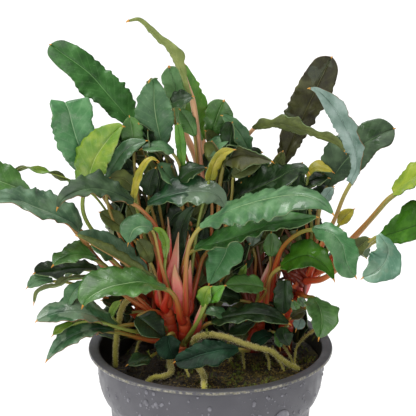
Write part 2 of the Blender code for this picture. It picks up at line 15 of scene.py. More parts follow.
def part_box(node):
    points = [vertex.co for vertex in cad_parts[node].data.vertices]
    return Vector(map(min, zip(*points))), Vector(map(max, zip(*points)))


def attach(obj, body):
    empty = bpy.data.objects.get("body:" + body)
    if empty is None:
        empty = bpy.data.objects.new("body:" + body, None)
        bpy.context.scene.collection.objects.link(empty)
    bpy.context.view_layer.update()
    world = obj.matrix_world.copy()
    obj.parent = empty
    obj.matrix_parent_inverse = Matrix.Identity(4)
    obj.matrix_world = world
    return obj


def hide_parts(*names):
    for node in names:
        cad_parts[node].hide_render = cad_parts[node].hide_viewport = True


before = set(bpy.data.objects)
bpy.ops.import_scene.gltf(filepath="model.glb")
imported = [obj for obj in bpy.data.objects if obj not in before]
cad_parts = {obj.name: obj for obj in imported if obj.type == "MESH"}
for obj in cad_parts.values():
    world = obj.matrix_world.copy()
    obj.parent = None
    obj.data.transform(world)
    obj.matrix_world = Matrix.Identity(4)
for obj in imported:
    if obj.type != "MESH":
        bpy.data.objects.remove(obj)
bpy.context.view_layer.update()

bpy.ops.object.select_all(action="DESELECT")
MM = 0.001
rim_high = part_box("pot")[1]
POT_HEIGHT = rim_high.z
RIM_RADIUS = rim_high.x
print("pot", round(POT_HEIGHT / MM, 1), "mm tall,", round(2 * RIM_RADIUS / MM, 1), "mm across its rim")

# %% [markdown]
# ## The camera
# The photo looks down on the pot by 21 degrees from far away, so that lines hardly converge. A long lens
# from three metres away does the same. The view is as wide as the photo is at the pot's own scale: the rim
# is 90 mm across and takes 244 of the photo's 416 pixels.

# %% Camera
VIEW_TILT = math.radians(21)
PIXELS_WIDE = 416
RIM_PIXELS = 244
PIXEL = 2 * RIM_RADIUS / RIM_PIXELS
AXIS_COLUMN = 210.5
RIM_ROW = 346
CAMERA_DISTANCE = 3.0

view_right = Vector((1, 0, 0))
view_up = Vector((0, math.sin(VIEW_TILT), math.cos(VIEW_TILT)))
view_front = Vector((0, -math.cos(VIEW_TILT), math.sin(VIEW_TILT)))
target = Vector((0, 0, POT_HEIGHT))
target += view_right * (PIXELS_WIDE / 2 - AXIS_COLUMN) * PIXEL
target += view_up * (RIM_ROW - PIXELS_WIDE / 2) * PIXEL
camera_data = bpy.data.cameras.new("camera")
camera_data.sensor_width = 36
camera_data.lens = 36 * CAMERA_DISTANCE / (PIXELS_WIDE * PIXEL)
camera_data.clip_end = 20
camera = bpy.data.objects.new("camera", camera_data)
camera.location = target + view_front * CAMERA_DISTANCE
camera.rotation_euler = (math.pi / 2 - VIEW_TILT, 0, 0)
bpy.context.scene.collection.objects.link(camera)
bpy.context.scene.camera = camera
print("lens", round(camera_data.lens), "mm, one pixel is", round(PIXEL / MM, 3), "mm")

# %% [markdown]
# ## Floor and light
# The photo is a catalogue picture on pure white, lit by one wide soft lamp above, a little from the left.
# Its glow lies as pale sheen on every leaf that looks up, and the pot's inside stays almost black. A wide
# overhead light that falls everywhere alike gives the sheen, with a dim world as the fill and a small lamp at
# the front. Wet patches on the leaves add a painted sheen, and the near-black inside of the pot is painted
# shade.

# %% World, lamps and floor
scene = bpy.context.scene
scene.view_settings.view_transform = "Standard"
world = bpy.data.worlds.new("studio")
scene.world = world
world.use_nodes = True
world.node_tree.nodes["Background"].inputs["Color"].default_value = (1, 1, 1, 1)
world.node_tree.nodes["Background"].inputs["Strength"].default_value = 0.42


def add_lamp(name, kind, place, aim, strength, **settings):
    """A lamp of this kind that looks from its place at the aim."""
    data = bpy.data.lights.new(name, kind)
    data.energy = strength
    for key, value in settings.items():
        setattr(data, key, value)
    lamp = bpy.data.objects.new(name, data)
    lamp.location = place
    lamp.rotation_euler = (Vector(aim) - Vector(place)).to_track_quat("-Z", "Y").to_euler()
    scene.collection.objects.link(lamp)
    return lamp


add_lamp("overhead", "SUN", (-0.25, 0.05, 1.0), (0, 0, 0.1), 2.6, angle=math.radians(44))
add_lamp("front_left", "AREA", (-0.5, -0.6, 0.45), (0, 0, 0.12), 1.6, size=0.35)

bpy.ops.mesh.primitive_plane_add(size=8, location=(0, 0, 0))
floor = bpy.context.object
floor.name = "floor"
print("lamps and floor in place")

# %% [markdown]
# ## Helpers for materials
# Colours are judged as sRGB hex codes, and shaders want linear light, so one function converts them.
# Another adds a shader node, with its settings and what is plugged into it, in one line.

# %% Material helpers


def linear(hex_code):
    """An sRGB hex colour as the linear RGBA that shaders want."""
    parts = [int(hex_code[place:place + 2], 16) / 255 for place in (1, 3, 5)]
    return (*(part / 12.92 if part <= 0.04045 else ((part + 0.055) / 1.055) ** 2.4 for part in parts), 1)


def add(tree, kind, inputs=None, stops=(), **settings):
    """Adds a node of this kind. Inputs are values, hex colours or other nodes' outputs, by socket name or
    number. Stops are the places and hex colours of a ramp."""
    made = tree.nodes.new("ShaderNode" + kind)
    for key, value in settings.items():
        setattr(made, key, value)
    for key, value in (inputs or {}).items():
        if isinstance(value, bpy.types.NodeSocket):
            tree.links.new(value, made.inputs[key])
        else:
            made.inputs[key].default_value = linear(value) if isinstance(value, str) else value
    if stops:
        elements = made.color_ramp.elements
        elements[0].position, elements[1].position = stops[0][0], stops[-1][0]
        for place, _ in stops[1:-1]:
            elements.new(place)
        for element, (_, hex_code) in zip(elements, stops):
            element.color = linear(hex_code)
    return made


def new_material(name, roughness, ior=1.5):
    """An empty material with its Principled surface: returns the material, its node tree and the surface."""
    made = bpy.data.materials.new(name)
    made.use_nodes = True
    surface = made.node_tree.nodes["Principled BSDF"]
    surface.inputs["Roughness"].default_value = roughness
    surface.inputs["IOR"].default_value = ior
    return made, made.node_tree, surface


def speckle(tree, millimetres, detail=2.0):
    """Noise in the object's own coordinates, whose patches are about this many millimetres wide."""
    place = add(tree, "TexCoord").outputs["Object"]
    return add(tree, "TexNoise", {"Vector": place, "Scale": 1 / (millimetres * MM),
                                  "Detail": detail}).outputs["Fac"]


def dress(tree, surface, colour, height, strength, depth):
    """Gives the surface its colour, and a relief up to this many millimetres deep."""
    tree.links.new(colour, surface.inputs["Base Color"])
    bump = add(tree, "Bump", {"Height": height, "Strength": strength, "Distance": depth * MM})
    tree.links.new(bump.outputs["Normal"], surface.inputs["Normal"])


floor_paper, tree, surface = new_material("matt_white_paper", 0.9)
grain = speckle(tree, 0.4)
tree.links.new(add(tree, "ValToRGB", {"Fac": grain}, [(0.3, "#fbfbfb"), (0.7, "#ffffff")]).outputs["Color"],
               surface.inputs["Base Color"])
floor.data.materials.append(floor_paper)
print("floor has", floor_paper.name)

# %% [markdown]
# ## What a leaf is finished with
# A living leaf is not one green. Its upper skin is waxy and dark, with a paler midrib and fine side veins
# that leave the midrib at a slant. Light catches on that wax. The underside is matt and olive, the edge is
# a thin pale or reddish line, and the stalk turns from red at its foot to green at the blade. The blades
# carry a UV map, with U from margin to margin and V from neck to tip, so the veins can be drawn by formula
# in it.

# %% Leaf finishes
VEIN_ROWS = 11
WET_ROUGHNESS = 0.16
# The pale grey that wet patches of a leaf are mixed towards: a painted sheen
SHEEN_PAINT_GREY = "#869a80"


def leaf_veins(tree):
    """Two masks from the blade's UV map: 1 on the midrib, and 1 along each slanting side vein."""
    uv = add(tree, "SeparateXYZ", {"Vector": add(tree, "UVMap", uv_map="UVMap").outputs["UV"]})
    across = add(tree, "Math", {0: uv.outputs["X"], 1: 0.5}, operation="SUBTRACT")
    out = add(tree, "Math", {0: across.outputs[0]}, operation="ABSOLUTE")
    midrib = add(tree, "MapRange", {"Value": out.outputs[0], "From Min": 0.012, "From Max": 0.034,
                                    "To Min": 1, "To Max": 0})
    slant = add(tree, "Math", {0: out.outputs[0], 1: -4.5, 2: 0}, operation="MULTIPLY_ADD")
    along = add(tree, "Math", {0: uv.outputs["Y"], 1: VEIN_ROWS, 2: slant.outputs[0]},
                operation="MULTIPLY_ADD")
    place = add(tree, "Math", {0: along.outputs[0], 1: 0.5}, operation="PINGPONG")
    side = add(tree, "MapRange", {"Value": place.outputs[0], "From Min": 0.0, "From Max": 0.11,
                                  "To Min": 1, "To Max": 0})
    return midrib.outputs["Result"], side.outputs["Result"]


def leaf_skin(name, shadow, body, light, vein, roughness, relief=0.25, film=0.0, shine=0.5, tipward=0.0):
    """Waxed upper skin: patches of three greens a few millimetres wide, paler veins, finely grained relief.
    A film of water with sharp borders covers the given share of it and is glossier, and there a painted sheen
    turns the colour a little grey. Where tipward is above 0 it gathers in the tip's half."""
    made, tree, surface = new_material(name, roughness)
    surface.inputs["Specular IOR Level"].default_value = shine
    midrib, side = leaf_veins(tree)
    greens = add(tree, "ValToRGB", {"Fac": speckle(tree, 6, 5)},
                 [(0.32, shadow), (0.5, body), (0.68, light)]).outputs["Color"]
    faint = add(tree, "Math", {0: side, 1: 0.1}, operation="MULTIPLY").outputs[0]
    veined = add(tree, "Mix", {0: faint, 6: greens, 7: vein}, data_type="RGBA").outputs[2]
    strong = add(tree, "Math", {0: midrib, 1: 0.8}, operation="MULTIPLY").outputs[0]
    ribbed = add(tree, "Mix", {0: strong, 6: veined, 7: vein}, data_type="RGBA").outputs[2]
    dots = add(tree, "MapRange", {"Value": speckle(tree, 0.55, 1), "From Min": 0.7, "From Max": 0.76,
                                  "To Max": 0.35}).outputs["Result"]
    dotted = add(tree, "Mix", {0: dots, 6: ribbed, 7: vein}, data_type="RGBA").outputs[2]
    uv = add(tree, "SeparateXYZ", {"Vector": add(tree, "UVMap", uv_map="UVMap").outputs["UV"]})
    pull = add(tree, "Math", {0: uv.outputs["Y"], 1: tipward, 2: -0.5 * tipward}, operation="MULTIPLY_ADD")
    pooled = add(tree, "Math", {0: speckle(tree, 8, 3), 1: pull.outputs[0]}, operation="ADD")
    wet = add(tree, "MapRange", {"Value": pooled.outputs[0], "From Min": 0.62 - 0.25 * film,
                                 "From Max": 0.65 - 0.25 * film}).outputs["Result"]
    # Painted sheen: where the film lies, the colour is mixed towards a pale grey that stands for the lamp's
    # reflection
    painted_sheen = add(tree, "Math", {0: wet, 1: 0.9 * film}, operation="MULTIPLY").outputs[0]
    gloss = add(tree, "Math", {0: wet, 1: WET_ROUGHNESS - roughness, 2: roughness},
                operation="MULTIPLY_ADD")
    tree.links.new(gloss.outputs[0], surface.inputs["Roughness"])
    # The skin's real grain is finer, and is drawn as coarse as it needs to be to show
    cells, swell = speckle(tree, 0.5, 1), speckle(tree, 2.2, 2)
    grained = add(tree, "Math", {0: swell, 1: 3.0, 2: cells}, operation="MULTIPLY_ADD").outputs[0]
    height = add(tree, "Math", {0: side, 1: -0.6, 2: grained}, operation="MULTIPLY_ADD").outputs[0]
    dress(tree, surface, add(tree, "Mix", {0: painted_sheen, 6: dotted, 7: SHEEN_PAINT_GREY},
                             data_type="RGBA").outputs[2], height, relief, 0.15)
    return made


def leaf_underside(name, body, light, vein):
    """Matt underside: olive patches, a pale midrib and faint side veins."""
    return leaf_skin(name, body, body, light, vein, 0.6, 0.3)


def stalk_skin(name, foot, middle, top):
    """Smooth round stalk whose colour turns along V from foot to top, with fine lengthwise streaks."""
    made, tree, surface = new_material(name, 0.38)
    uv = add(tree, "SeparateXYZ", {"Vector": add(tree, "UVMap", uv_map="UVMap").outputs["UV"]})
    streak = add(tree, "TexNoise", {"Vector": add(tree, "Mapping", {
        "Vector": add(tree, "UVMap", uv_map="UVMap").outputs["UV"], "Scale": (9, 1.5, 1)}).outputs[0],
        "Scale": 1.0, "Detail": 3})
    wander = add(tree, "Math", {0: streak.outputs["Fac"], 1: 0.7, 2: -0.35}, operation="MULTIPLY_ADD")
    place = add(tree, "Math", {0: uv.outputs["Y"], 1: wander.outputs[0]}, operation="ADD")
    colour = add(tree, "ValToRGB", {"Fac": place.outputs[0]},
                 [(0.08, foot), (0.27, middle), (0.47, top)]).outputs["Color"]
    dress(tree, surface, colour, streak.outputs["Fac"], 0.3, 0.1)
    return made


SKINS = {
    "green": leaf_skin("waxed_leaf_green", "#30581f", "#44702e", "#5a883f", "#9cba80", 0.34, film=0.2),
    "dark": leaf_skin("waxed_leaf_dark", "#0f1f0b", "#1a3013", "#2b4722", "#6a8656", 0.36, film=0.15,
                      shine=0.3),
    "pale": leaf_skin("waxed_leaf_blue_green", "#335a38", "#4a7548", "#668f62", "#9cb681", 0.4, film=0.25),
    "sage": leaf_skin("waxed_leaf_sage", "#35523a", "#4c6c4d", "#6f8f72", "#a5ba9a", 0.42, film=0.3),
    "matte": leaf_skin("waxed_leaf_grey_green", "#223822", "#364c30", "#506a48", "#6a865c", 0.55,
                       shine=0.35),
    "deep": leaf_skin("waxed_leaf_deep_green", "#0a1c10", "#102a18", "#1b3e27", "#557860", 0.5, shine=0.15),
    "wet": leaf_skin("waxed_leaf_wet_with_painted_sheen", "#1f3f24", "#315a34", "#4b7452", "#8aa68c", 0.38, film=0.6),
    "sheen": leaf_skin("waxed_leaf_sheen", "#12301a", "#1b4222", "#2c5a30", "#6f9274", 0.36, film=0.6,
                       tipward=0.7),
    # Pale grey-green: partly the leaf's own colour and partly painted light shining through the leaf
    "grey": leaf_skin("waxed_leaf_grey", "#627d70", "#7f998c", "#9cb1a8", "#b8c8bc", 0.45),
    "bright": leaf_skin("waxed_leaf_bright", "#3f7a1f", "#5a942a", "#74a63a", "#a9c973", 0.4),
    "young": leaf_skin("waxed_leaf_young", "#6a8a18", "#829c20", "#a0af38", "#c4d083", 0.4, film=0.15),
    "lime": leaf_skin("waxed_leaf_lime", "#4e7a18", "#678c22", "#8aa037", "#b8cc7c", 0.4, film=0.15),
    "forest": leaf_skin("waxed_leaf_forest", "#1f4717", "#2f5f24", "#457838", "#7ba867", 0.42, film=0.1,
                        shine=0.3),
    "lit": leaf_skin("waxed_leaf_lit_through", "#28500b", "#32620f", "#4a7c20", "#1c3410", 0.48, shine=0.2),
    "jade": leaf_skin("waxed_leaf_jade", "#37683a", "#4a824c", "#699b66", "#9cc090", 0.36, film=0.25),
    "mist": leaf_skin("waxed_leaf_mist", "#48735a", "#5c876d", "#82a68c", "#a8c2a8", 0.34, film=0.35),
    # Painted light: greens lightened well past the leaf's own, as if the shaded leaf were lit through
    "faint": leaf_skin("waxed_leaf_painted_light", "#74aa6c", "#88be80", "#9ccb94", "#bcd8ae", 0.5),
    "golden": leaf_skin("waxed_leaf_golden", "#8a8a1e", "#a69c2a", "#bfb04a", "#d6ca8c", 0.42),
    "bronze": leaf_skin("waxed_leaf_bronze", "#241f0e", "#3b3a1b", "#575935", "#6e6c40", 0.36, film=0.15,
                        shine=0.35),
    "under_brown_olive": leaf_underside("leaf_underside_brown_olive", "#3d4018", "#575a22", "#827f4a"),
    "under_pale": leaf_underside("leaf_underside_pale", "#7c8a45", "#98a35a", "#bcc38a"),
    "under_olive": leaf_underside("leaf_underside_olive", "#4f5a26", "#717d38", "#a3a163"),
    "under_green": leaf_underside("leaf_underside_green", "#385528", "#4d6a3a", "#8fa572"),
    "under_bronze": leaf_underside("leaf_underside_bronze", "#40381e", "#5c4f28", "#8a7a4c"),
    "margin_pale": leaf_underside("leaf_margin_pale", "#6b8452", "#87996a", "#a8b084"),
    "margin_red": leaf_underside("leaf_margin_red", "#7a5c38", "#93744a", "#a38a66"),
    "stalk_red": stalk_skin("leaf_stalk_red", "#c23a22", "#b8652f", "#858238"),
    "stalk_salmon": stalk_skin("leaf_stalk_salmon", "#c04628", "#b87c42", "#9c9748"),
    "stalk_pink": stalk_skin("leaf_stalk_pink", "#d66244", "#e09274", "#dcab80"),
    "stalk_bright": stalk_skin("leaf_stalk_bright_red", "#cf3420", "#d04a2c", "#a8804a"),
    "stalk_green": stalk_skin("leaf_stalk_green", "#8a7a34", "#7d8838", "#8a9a40"),
    "stalk_brown": stalk_skin("leaf_stalk_brown", "#7a2a1a", "#5e3c1e", "#4a5228"),
    "thorn": leaf_underside("leaf_tip_thorn", "#c98a2e", "#d9a04a", "#e0b468"),
}
print(len(SKINS), "leaf finishes")

# %% [markdown]
# ## Where the pieces stand
# Every piece was measured in the photo by its column and row. A third number, how far it lies behind the
# pot's axis in millimetres, turns such a place into a point in space. Leaves are long ribbons, so each one
# follows a smooth curve through a few of these points.

# %% Points and curves


def seen(column, row, back):
    """The point that shows at this column and row of the photo, this many millimetres behind the axis."""
    up = (RIM_ROW - row) * PIXEL
    rise = (up - back * MM * math.sin(VIEW_TILT)) / math.cos(VIEW_TILT)
    return Vector(((column - AXIS_COLUMN) * PIXEL, back * MM, POT_HEIGHT + rise))


def facing(right, up, front):
    """The direction of a surface that looks this much right, up and to the front of the photo."""
    return (right * view_right + up * view_up + front * view_front).normalized()


def smooth_row(values, share):
    """A smooth curve (Catmull-Rom) through evenly spaced numbers or points, read at this share of its way."""
    place = min(max(share, 0.0), 1.0) * (len(values) - 1)
    index = min(int(place), len(values) - 2)
    t = place - index
    start, end = values[index], values[index + 1]
    before = values[index - 1] if index else start * 2 - end
    after = values[index + 2] if index + 2 < len(values) else end * 2 - start
    return 0.5 * (start * 2 + (end - before) * t + (before * 2 - start * 5 + end * 4 - after) * t ** 2
                  + (start * 3 - before - end * 3 + after) * t ** 3)


def even_points(points, count):
    """count + 1 points at even distances along the smooth curve through the given points."""
    fine = [smooth_row(points, step / (12 * len(points))) for step in range(12 * len(points) + 1)]
    lengths = [0.0]
    for start, end in zip(fine, fine[1:]):
        lengths.append(lengths[-1] + (end - start).length)
    found = []
    index = 0
    for step in range(count + 1):
        distance = lengths[-1] * step / count
        while index < len(fine) - 2 and lengths[index + 1] < distance:
            index += 1
        share = (distance - lengths[index]) / max(lengths[index + 1] - lengths[index], 1e-9)
        found.append(fine[index].lerp(fine[index + 1], min(share, 1.0)))
    return found


def headings(points):
    """The direction of the curve at each of its points."""
    ends = [points[0], *points, points[-1]]
    return [(after - before).normalized() for before, after in zip(ends, ends[2:])]


# Stems under the leaves: (x, y, height over the rim's plane, radius) in millimetres
STEMS = {
    "main": [(-11.4, 2, -8, 3.6), (-11.4, 2, -2, 3.8), (-11.6, 2, 0.6, 3.2)],
    "left": [(-12.6, 2.4, -1, 2.2), (-14.4, 2, 6, 2.2), (-15.6, 1.4, 11.5, 2.3), (-16.6, 0.8, 16.5, 1.9)],
    "middle": [(-10.2, 1.8, -1, 2.2), (-9.4, 1, 6, 2.2), (-9.8, 0.2, 10, 2.3), (-10.4, -0.6, 14, 2.0)],
    "back_left": [(-24, 15, -8, 3.0), (-23.5, 15, 2, 2.8), (-22.5, 14.5, 10, 2.4), (-21.5, 14, 17, 1.8)],
    "back": [(0, 19, -8, 3.0), (0, 19, 4, 2.8), (-0.5, 18.5, 13, 2.4), (-1, 18, 22, 1.8)],
    "right": [(16.5, 12.5, -8, 3.2), (17, 12, 2, 3.0), (18, 12, 8, 2.8), (19, 12, 14, 2.5)],
    "far_right": [(27, 9, -8, 2.9), (28, 9, 4, 2.7), (30.5, 8.5, 15, 2.5), (34, 8, 23, 2.3),
                  (37, 8, 26, 1.7)],
}


def on_stem(stem, share, side):
    """A place inside the bark of a stem, this share of the way up, and the direction that leads out of it."""
    x, y, height, radius = (smooth_row([row[part] for row in STEMS[stem]], share) for part in range(4))
    outward = Vector((math.cos(math.radians(side)), math.sin(math.radians(side)), 0))
    return Vector((x * MM, y * MM, POT_HEIGHT + height * MM)) + outward * radius * 0.5 * MM, outward


print(len(STEMS), "stems")

# %% [markdown]
# ## Sheets and tubes
# Both start as Blender's grid, because it brings a UV map of its own. A sheet is laid in space by a formula
# that gives each of its points its place. It is a formula and no row of operators because each leaf bends,
# turns and ripples along its own way. A tube is a sheet whose two long sides are brought together and
# merged.

# %% Sheets and tubes


def lay_sheet(name, columns, rows, place_of):
    """A grid laid in space: place_of(column, row) gives each point."""
    bpy.ops.object.select_all(action="DESELECT")
    bpy.ops.mesh.primitive_grid_add(x_subdivisions=columns, y_subdivisions=rows, size=1)
    sheet = bpy.context.object
    sheet.name = name
    for vertex in sheet.data.vertices:
        vertex.co = place_of(round((vertex.co.x + 0.5) * columns), round((vertex.co.y + 0.5) * rows))
    return sheet


def merge_seams():
    """Joins the points of the active piece that lie on each other, and turns all faces outward."""
    bpy.ops.object.mode_set(mode="EDIT")
    bpy.ops.mesh.select_all(action="SELECT")
    bpy.ops.mesh.remove_doubles(threshold=1e-6)
    bpy.ops.mesh.dissolve_degenerate(threshold=1e-7)
    bpy.ops.mesh.normals_make_consistent(inside=False)
    bpy.ops.object.mode_set(mode="OBJECT")


def tube(name, points, radii, skin, sides=10, flat=1.0):
    """A round rod along the points, closed at both ends; flat squeezes it."""
    ahead = headings(points)
    side = ahead[0].orthogonal().normalized()
    frames = []
    for heading in ahead:
        side = (side - heading * side.dot(heading)).normalized()
        frames.append((side, heading.cross(side)))

    def place_of(column, row):
        if row in (0, len(points) + 1):
            return points[0] if row == 0 else points[-1]
        angle = math.tau * column / sides
        first, second = frames[row - 1]
        return points[row - 1] + radii[row - 1] * (first * math.cos(angle) + second * math.sin(angle) * flat)

    rod = lay_sheet(name, sides, len(points) + 1, place_of)
    merge_seams()
    rod.data.materials.append(skin)
    bpy.ops.object.shade_smooth()
    return rod


def join(pieces, name):
    """One object made of all the pieces."""
    bpy.ops.object.select_all(action="DESELECT")
    for piece in pieces:
        piece.select_set(True)
    bpy.context.view_layer.objects.active = pieces[0]
    bpy.ops.object.join()
    pieces[0].name = name
    return pieces[0]


print("sheet and tube helpers ready")

# %% [markdown]
# ## How one leaf is made
# A leaf has a round stalk that leaves its stem, and a thin blade. The blade follows a rib, and two short
# lists say how far its left and right margins lie from that rib as the photo shows it. Its face says which
# way the upper side looks. Margins of this plant ripple, so a wave lifts and lowers them, more so the
# further out. The side veins press faint furrows into the blade, and the margin is finely crinkled. The
# stalk runs on under the blade as its midrib, and ends in a short thorn.

# %% Leaf builder
BLADE_THICKNESS = 0.32 * MM
ROW_LENGTH = 0.5 * MM
CRINKLE_PITCH = 1.6 * MM
BLADE_COLUMNS = 20
RUFFLE = 1.25
CRINKLE_OUT = 0.95 * MM
CRINKLE_UP = 0.75 * MM
RUMPLE = 0.42 * MM
RUMPLE_PITCH = 4.5 * MM
FURROW = 0.08 * MM
GROOVE = 0.32 * MM
THORN_LENGTH = 1.25 * MM
ROUND_TIP = 1.2 * MM
STALK_RADIUS = 0.85 * MM
STALK_ROWS = 26
RIPPLE_PITCH = 7.2 * MM
VEIN_SLANT = 2.25
# A margin counts as fully ruffled from this half width on, and the groove over the midrib as fully deep
RUFFLED_FROM = 4 * MM
GROOVED_FROM = 3 * MM
# A blade that points almost at the camera isn't widened to the width that it shows
LEAST_LENGTH_SHOWN = 0.45


def blade_sections(rib, left, right, face, twist, as_seen, row_length):
    """For each row of the blade: its point, its right-hand side, its upper direction and both half widths."""
    length = sum((end - start).length for start, end in zip(rib, rib[1:]))
    rows = max(14, round(length / row_length))
    points = even_points(rib, rows)
    sections = []
    for row, (point, ahead) in enumerate(zip(points, headings(points))):
        share = row / rows
        upper = smooth_row(face, share) if len(face) > 1 else face[0]
        side = ahead.cross(upper).normalized()
        if twist:
            turn = math.radians(smooth_row(twist, share))
            side = (side * math.cos(turn) + side.cross(ahead) * math.sin(turn)).normalized()
        upper = side.cross(ahead)
        flat_ahead = ahead - view_front * ahead.dot(view_front)
        flat_side = side - view_front * side.dot(view_front)
        shown = flat_ahead.cross(flat_side).length / max(flat_ahead.length, 0.2)
        stretch = 1 / max(shown, 0.5) if as_seen and flat_ahead.length > LEAST_LENGTH_SHOWN else 1.0
        tip = max(0.0, 1 - (1 - share) * length / max(ROUND_TIP, 0.5 * (left[-1] + right[-1]) * PIXEL))
        stretch *= math.sqrt(max(1 - tip * tip, 0.02))
        widths = [max(smooth_row(side_widths, share), 0.4) * PIXEL * stretch
                  for side_widths in (left, right)]
        sections.append((point, side, upper, *widths))
    return sections, length


def make_leaf(name, skins, root, rib, left, right, face, stalk=(), wave=0.45, cup=10, twist=None,
              as_seen=True, stalk_radius=STALK_RADIUS, phase=0.0, roll=0.0, columns=BLADE_COLUMNS,
              pitch=RIPPLE_PITCH, row_length=ROW_LENGTH):
    """One leaf: blade and stalk in one object. Widths are in the photo's pixels, angles in degrees."""
    upper_skin, lower_skin, margin_skin, stalk_skin_name = skins
    start, outward = on_stem(*root)
    rib_points = [seen(*each) for each in rib]
    faces = [facing(*each) for each in (face if isinstance(face[0], tuple) else [face])]
    sections, length = blade_sections(rib_points, left, right, faces, twist, as_seen, row_length)
    rows = len(sections) - 1
    ripples = max(2.0, length / pitch)

    def place_of(column, row):
        point, side, upper, left_width, right_width = sections[row]
        share = row / rows
        x = 2 * column / columns - 1
        sign = 1 if x > 0 else -1
        # Columns stand closer together near the midrib, where the groove is
        out = abs(x) ** 1.3
        half = right_width if x > 0 else left_width
        # The blade bends up towards its margins, and the left one may roll over
        turn = math.radians(cup) * out ** 0.6 + math.radians(roll if x < 0 else 0) * out ** 2
        reach = half * out
        # Wide parts ripple most, the neck and the tip less. No two ripples are quite alike
        strength = min(1.0, half / RUFFLED_FROM) * math.sin(math.pi * min(1.0, share * 1.08 + 0.1)) ** 0.4
        beat = math.tau * (ripples * share + phase * (2 + sign) + 0.16 * math.sin(5 * share + sign + phase))
        ruffle = math.sin(beat) + 0.14 * math.sin(2.3 * beat + phase)
        amount = wave * RUFFLE * MM * strength
        crinkle = noise.noise(Vector((share * length / CRINKLE_PITCH, 9.0 * sign, 5 * phase)))
        crinkle *= strength * out ** 4
        across = sign * (reach * math.cos(turn) - 0.28 * amount * out ** 3 * ruffle + CRINKLE_OUT * crinkle)
        lift = reach * math.sin(turn) + 0.06 * half * math.sin(math.pi * out ** 0.8)
        lift += amount * out ** 2 * ruffle + CRINKLE_UP * crinkle
        # Furrows along the side veins, soft dents all over, and the groove over the midrib
        furrow = math.cos(math.tau * (VEIN_ROWS * share - VEIN_SLANT * abs(x)))
        lift -= FURROW * strength * furrow * out ** 0.5 * (1.15 - out)
        rumple = noise.noise(Vector((2.2 * x + 7 * phase, share * length / RUMPLE_PITCH, 3 * phase)))
        lift += RUMPLE * strength * rumple * out ** 0.5
        lift -= GROOVE * math.exp(-(out / 0.06) ** 2) * min(1.0, half / GROOVED_FROM)
        return point + side * across + upper * lift

    blade = lay_sheet(name, columns, rows, place_of)
    for skin in (upper_skin, lower_skin, margin_skin):
        blade.data.materials.append(SKINS[skin])
    shell = blade.modifiers.new("thickness", "SOLIDIFY")
    shell.thickness = BLADE_THICKNESS
    shell.offset = 0
    shell.material_offset = 1
    shell.material_offset_rim = 2
    bpy.ops.object.modifier_apply(modifier=shell.name)
    bpy.ops.object.shade_smooth()

    first_step = start + outward * 2.4 * MM + Vector((0, 0, 2.2 * MM))
    way = [start, first_step, *(seen(*each) for each in stalk), sections[0][0]]
    lead = even_points(way, STALK_ROWS)[:-1]
    keel_rows = [round(rows * step / STALK_ROWS) for step in range(STALK_ROWS + 1)]
    points = list(lead)
    radii = [stalk_radius * (2.0 - 1.1 * min(1.0, 1.5 * step / STALK_ROWS) ** 0.6)
             for step in range(STALK_ROWS)]
    for step, row in enumerate(keel_rows):
        radius = stalk_radius * (0.88 - 0.72 * (step / STALK_ROWS) ** 0.55)
        points.append(sections[row][0] - sections[row][2] * (radius + 0.2 * MM))
        radii.append(radius)
    for _ in range(3):
        bend = range(1, STALK_ROWS + 2)
        points[1:STALK_ROWS + 2] = [(points[i - 1] + points[i] * 2 + points[i + 1]) / 4 for i in bend]
    rod = tube(name + "_stalk", points, radii, SKINS[stalk_skin_name])
    ahead = (sections[-1][0] - sections[-2][0]).normalized()
    steps = [step / 5 for step in range(6)]
    tip = sections[-1][0]
    thorn_points = [tip + THORN_LENGTH * (ahead * (step - 0.3) - Vector((0, 0, 0.4 * step ** 2)))
                    for step in steps]
    thorn_radii = [stalk_radius * (0.5 - 0.4 * step) for step in steps]
    thorn = tube(name + "_thorn", thorn_points, thorn_radii, SKINS["thorn"], 8)
    return join([blade, rod, thorn], name)


print("leaf builder ready")

# %% [markdown]
# ## The large leaves
# No two of the plant's large leaves bend or ripple alike. One leaf could be copied and turned, but here
# each has a row of its own in a table, measured in the photo but for five guessed ones behind. They replace
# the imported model's plain leaves one for one. Left and right are as seen when one walks from the leaf's
# neck to its tip. Each finish set names the upper skin, the underside, the margin and the stalk.

# %% Finish sets
GREEN = ("green", "under_olive", "margin_pale", "stalk_red")
DARK = ("dark", "under_green", "margin_pale", "stalk_red")
PALE = ("pale", "under_olive", "margin_pale", "stalk_salmon")
YOUNG = ("lime", "under_olive", "margin_pale", "stalk_green")
BRONZE = ("bronze", "under_bronze", "margin_red", "stalk_salmon")
OLIVE_SIDE = ("under_olive", "green", "margin_pale", "stalk_salmon")
SAGE = ("sage", "under_olive", "margin_red", "stalk_bright")
MATTE = ("matte", "under_olive", "margin_red", "stalk_salmon")
DEEP = ("deep", "under_green", "margin_pale", "stalk_red")
SHEEN = ("sheen", "under_green", "margin_pale", "stalk_red")
WET = ("wet", "under_olive", "margin_red", "stalk_red")
FOREST = ("forest", "under_olive", "margin_pale", "stalk_red")
LIT = ("lit", "under_olive", "margin_pale", "stalk_salmon")
JADE = ("jade", "under_olive", "margin_pale", "stalk_red")
MIST = ("mist", "under_olive", "margin_pale", "stalk_salmon")
DULL = ("matte", "under_olive", "margin_red", "stalk_bright")
ARCHING = ("under_olive", "pale", "margin_pale", "stalk_pink")
BACKLIT = ("bright", "under_olive", "margin_pale", "stalk_pink")
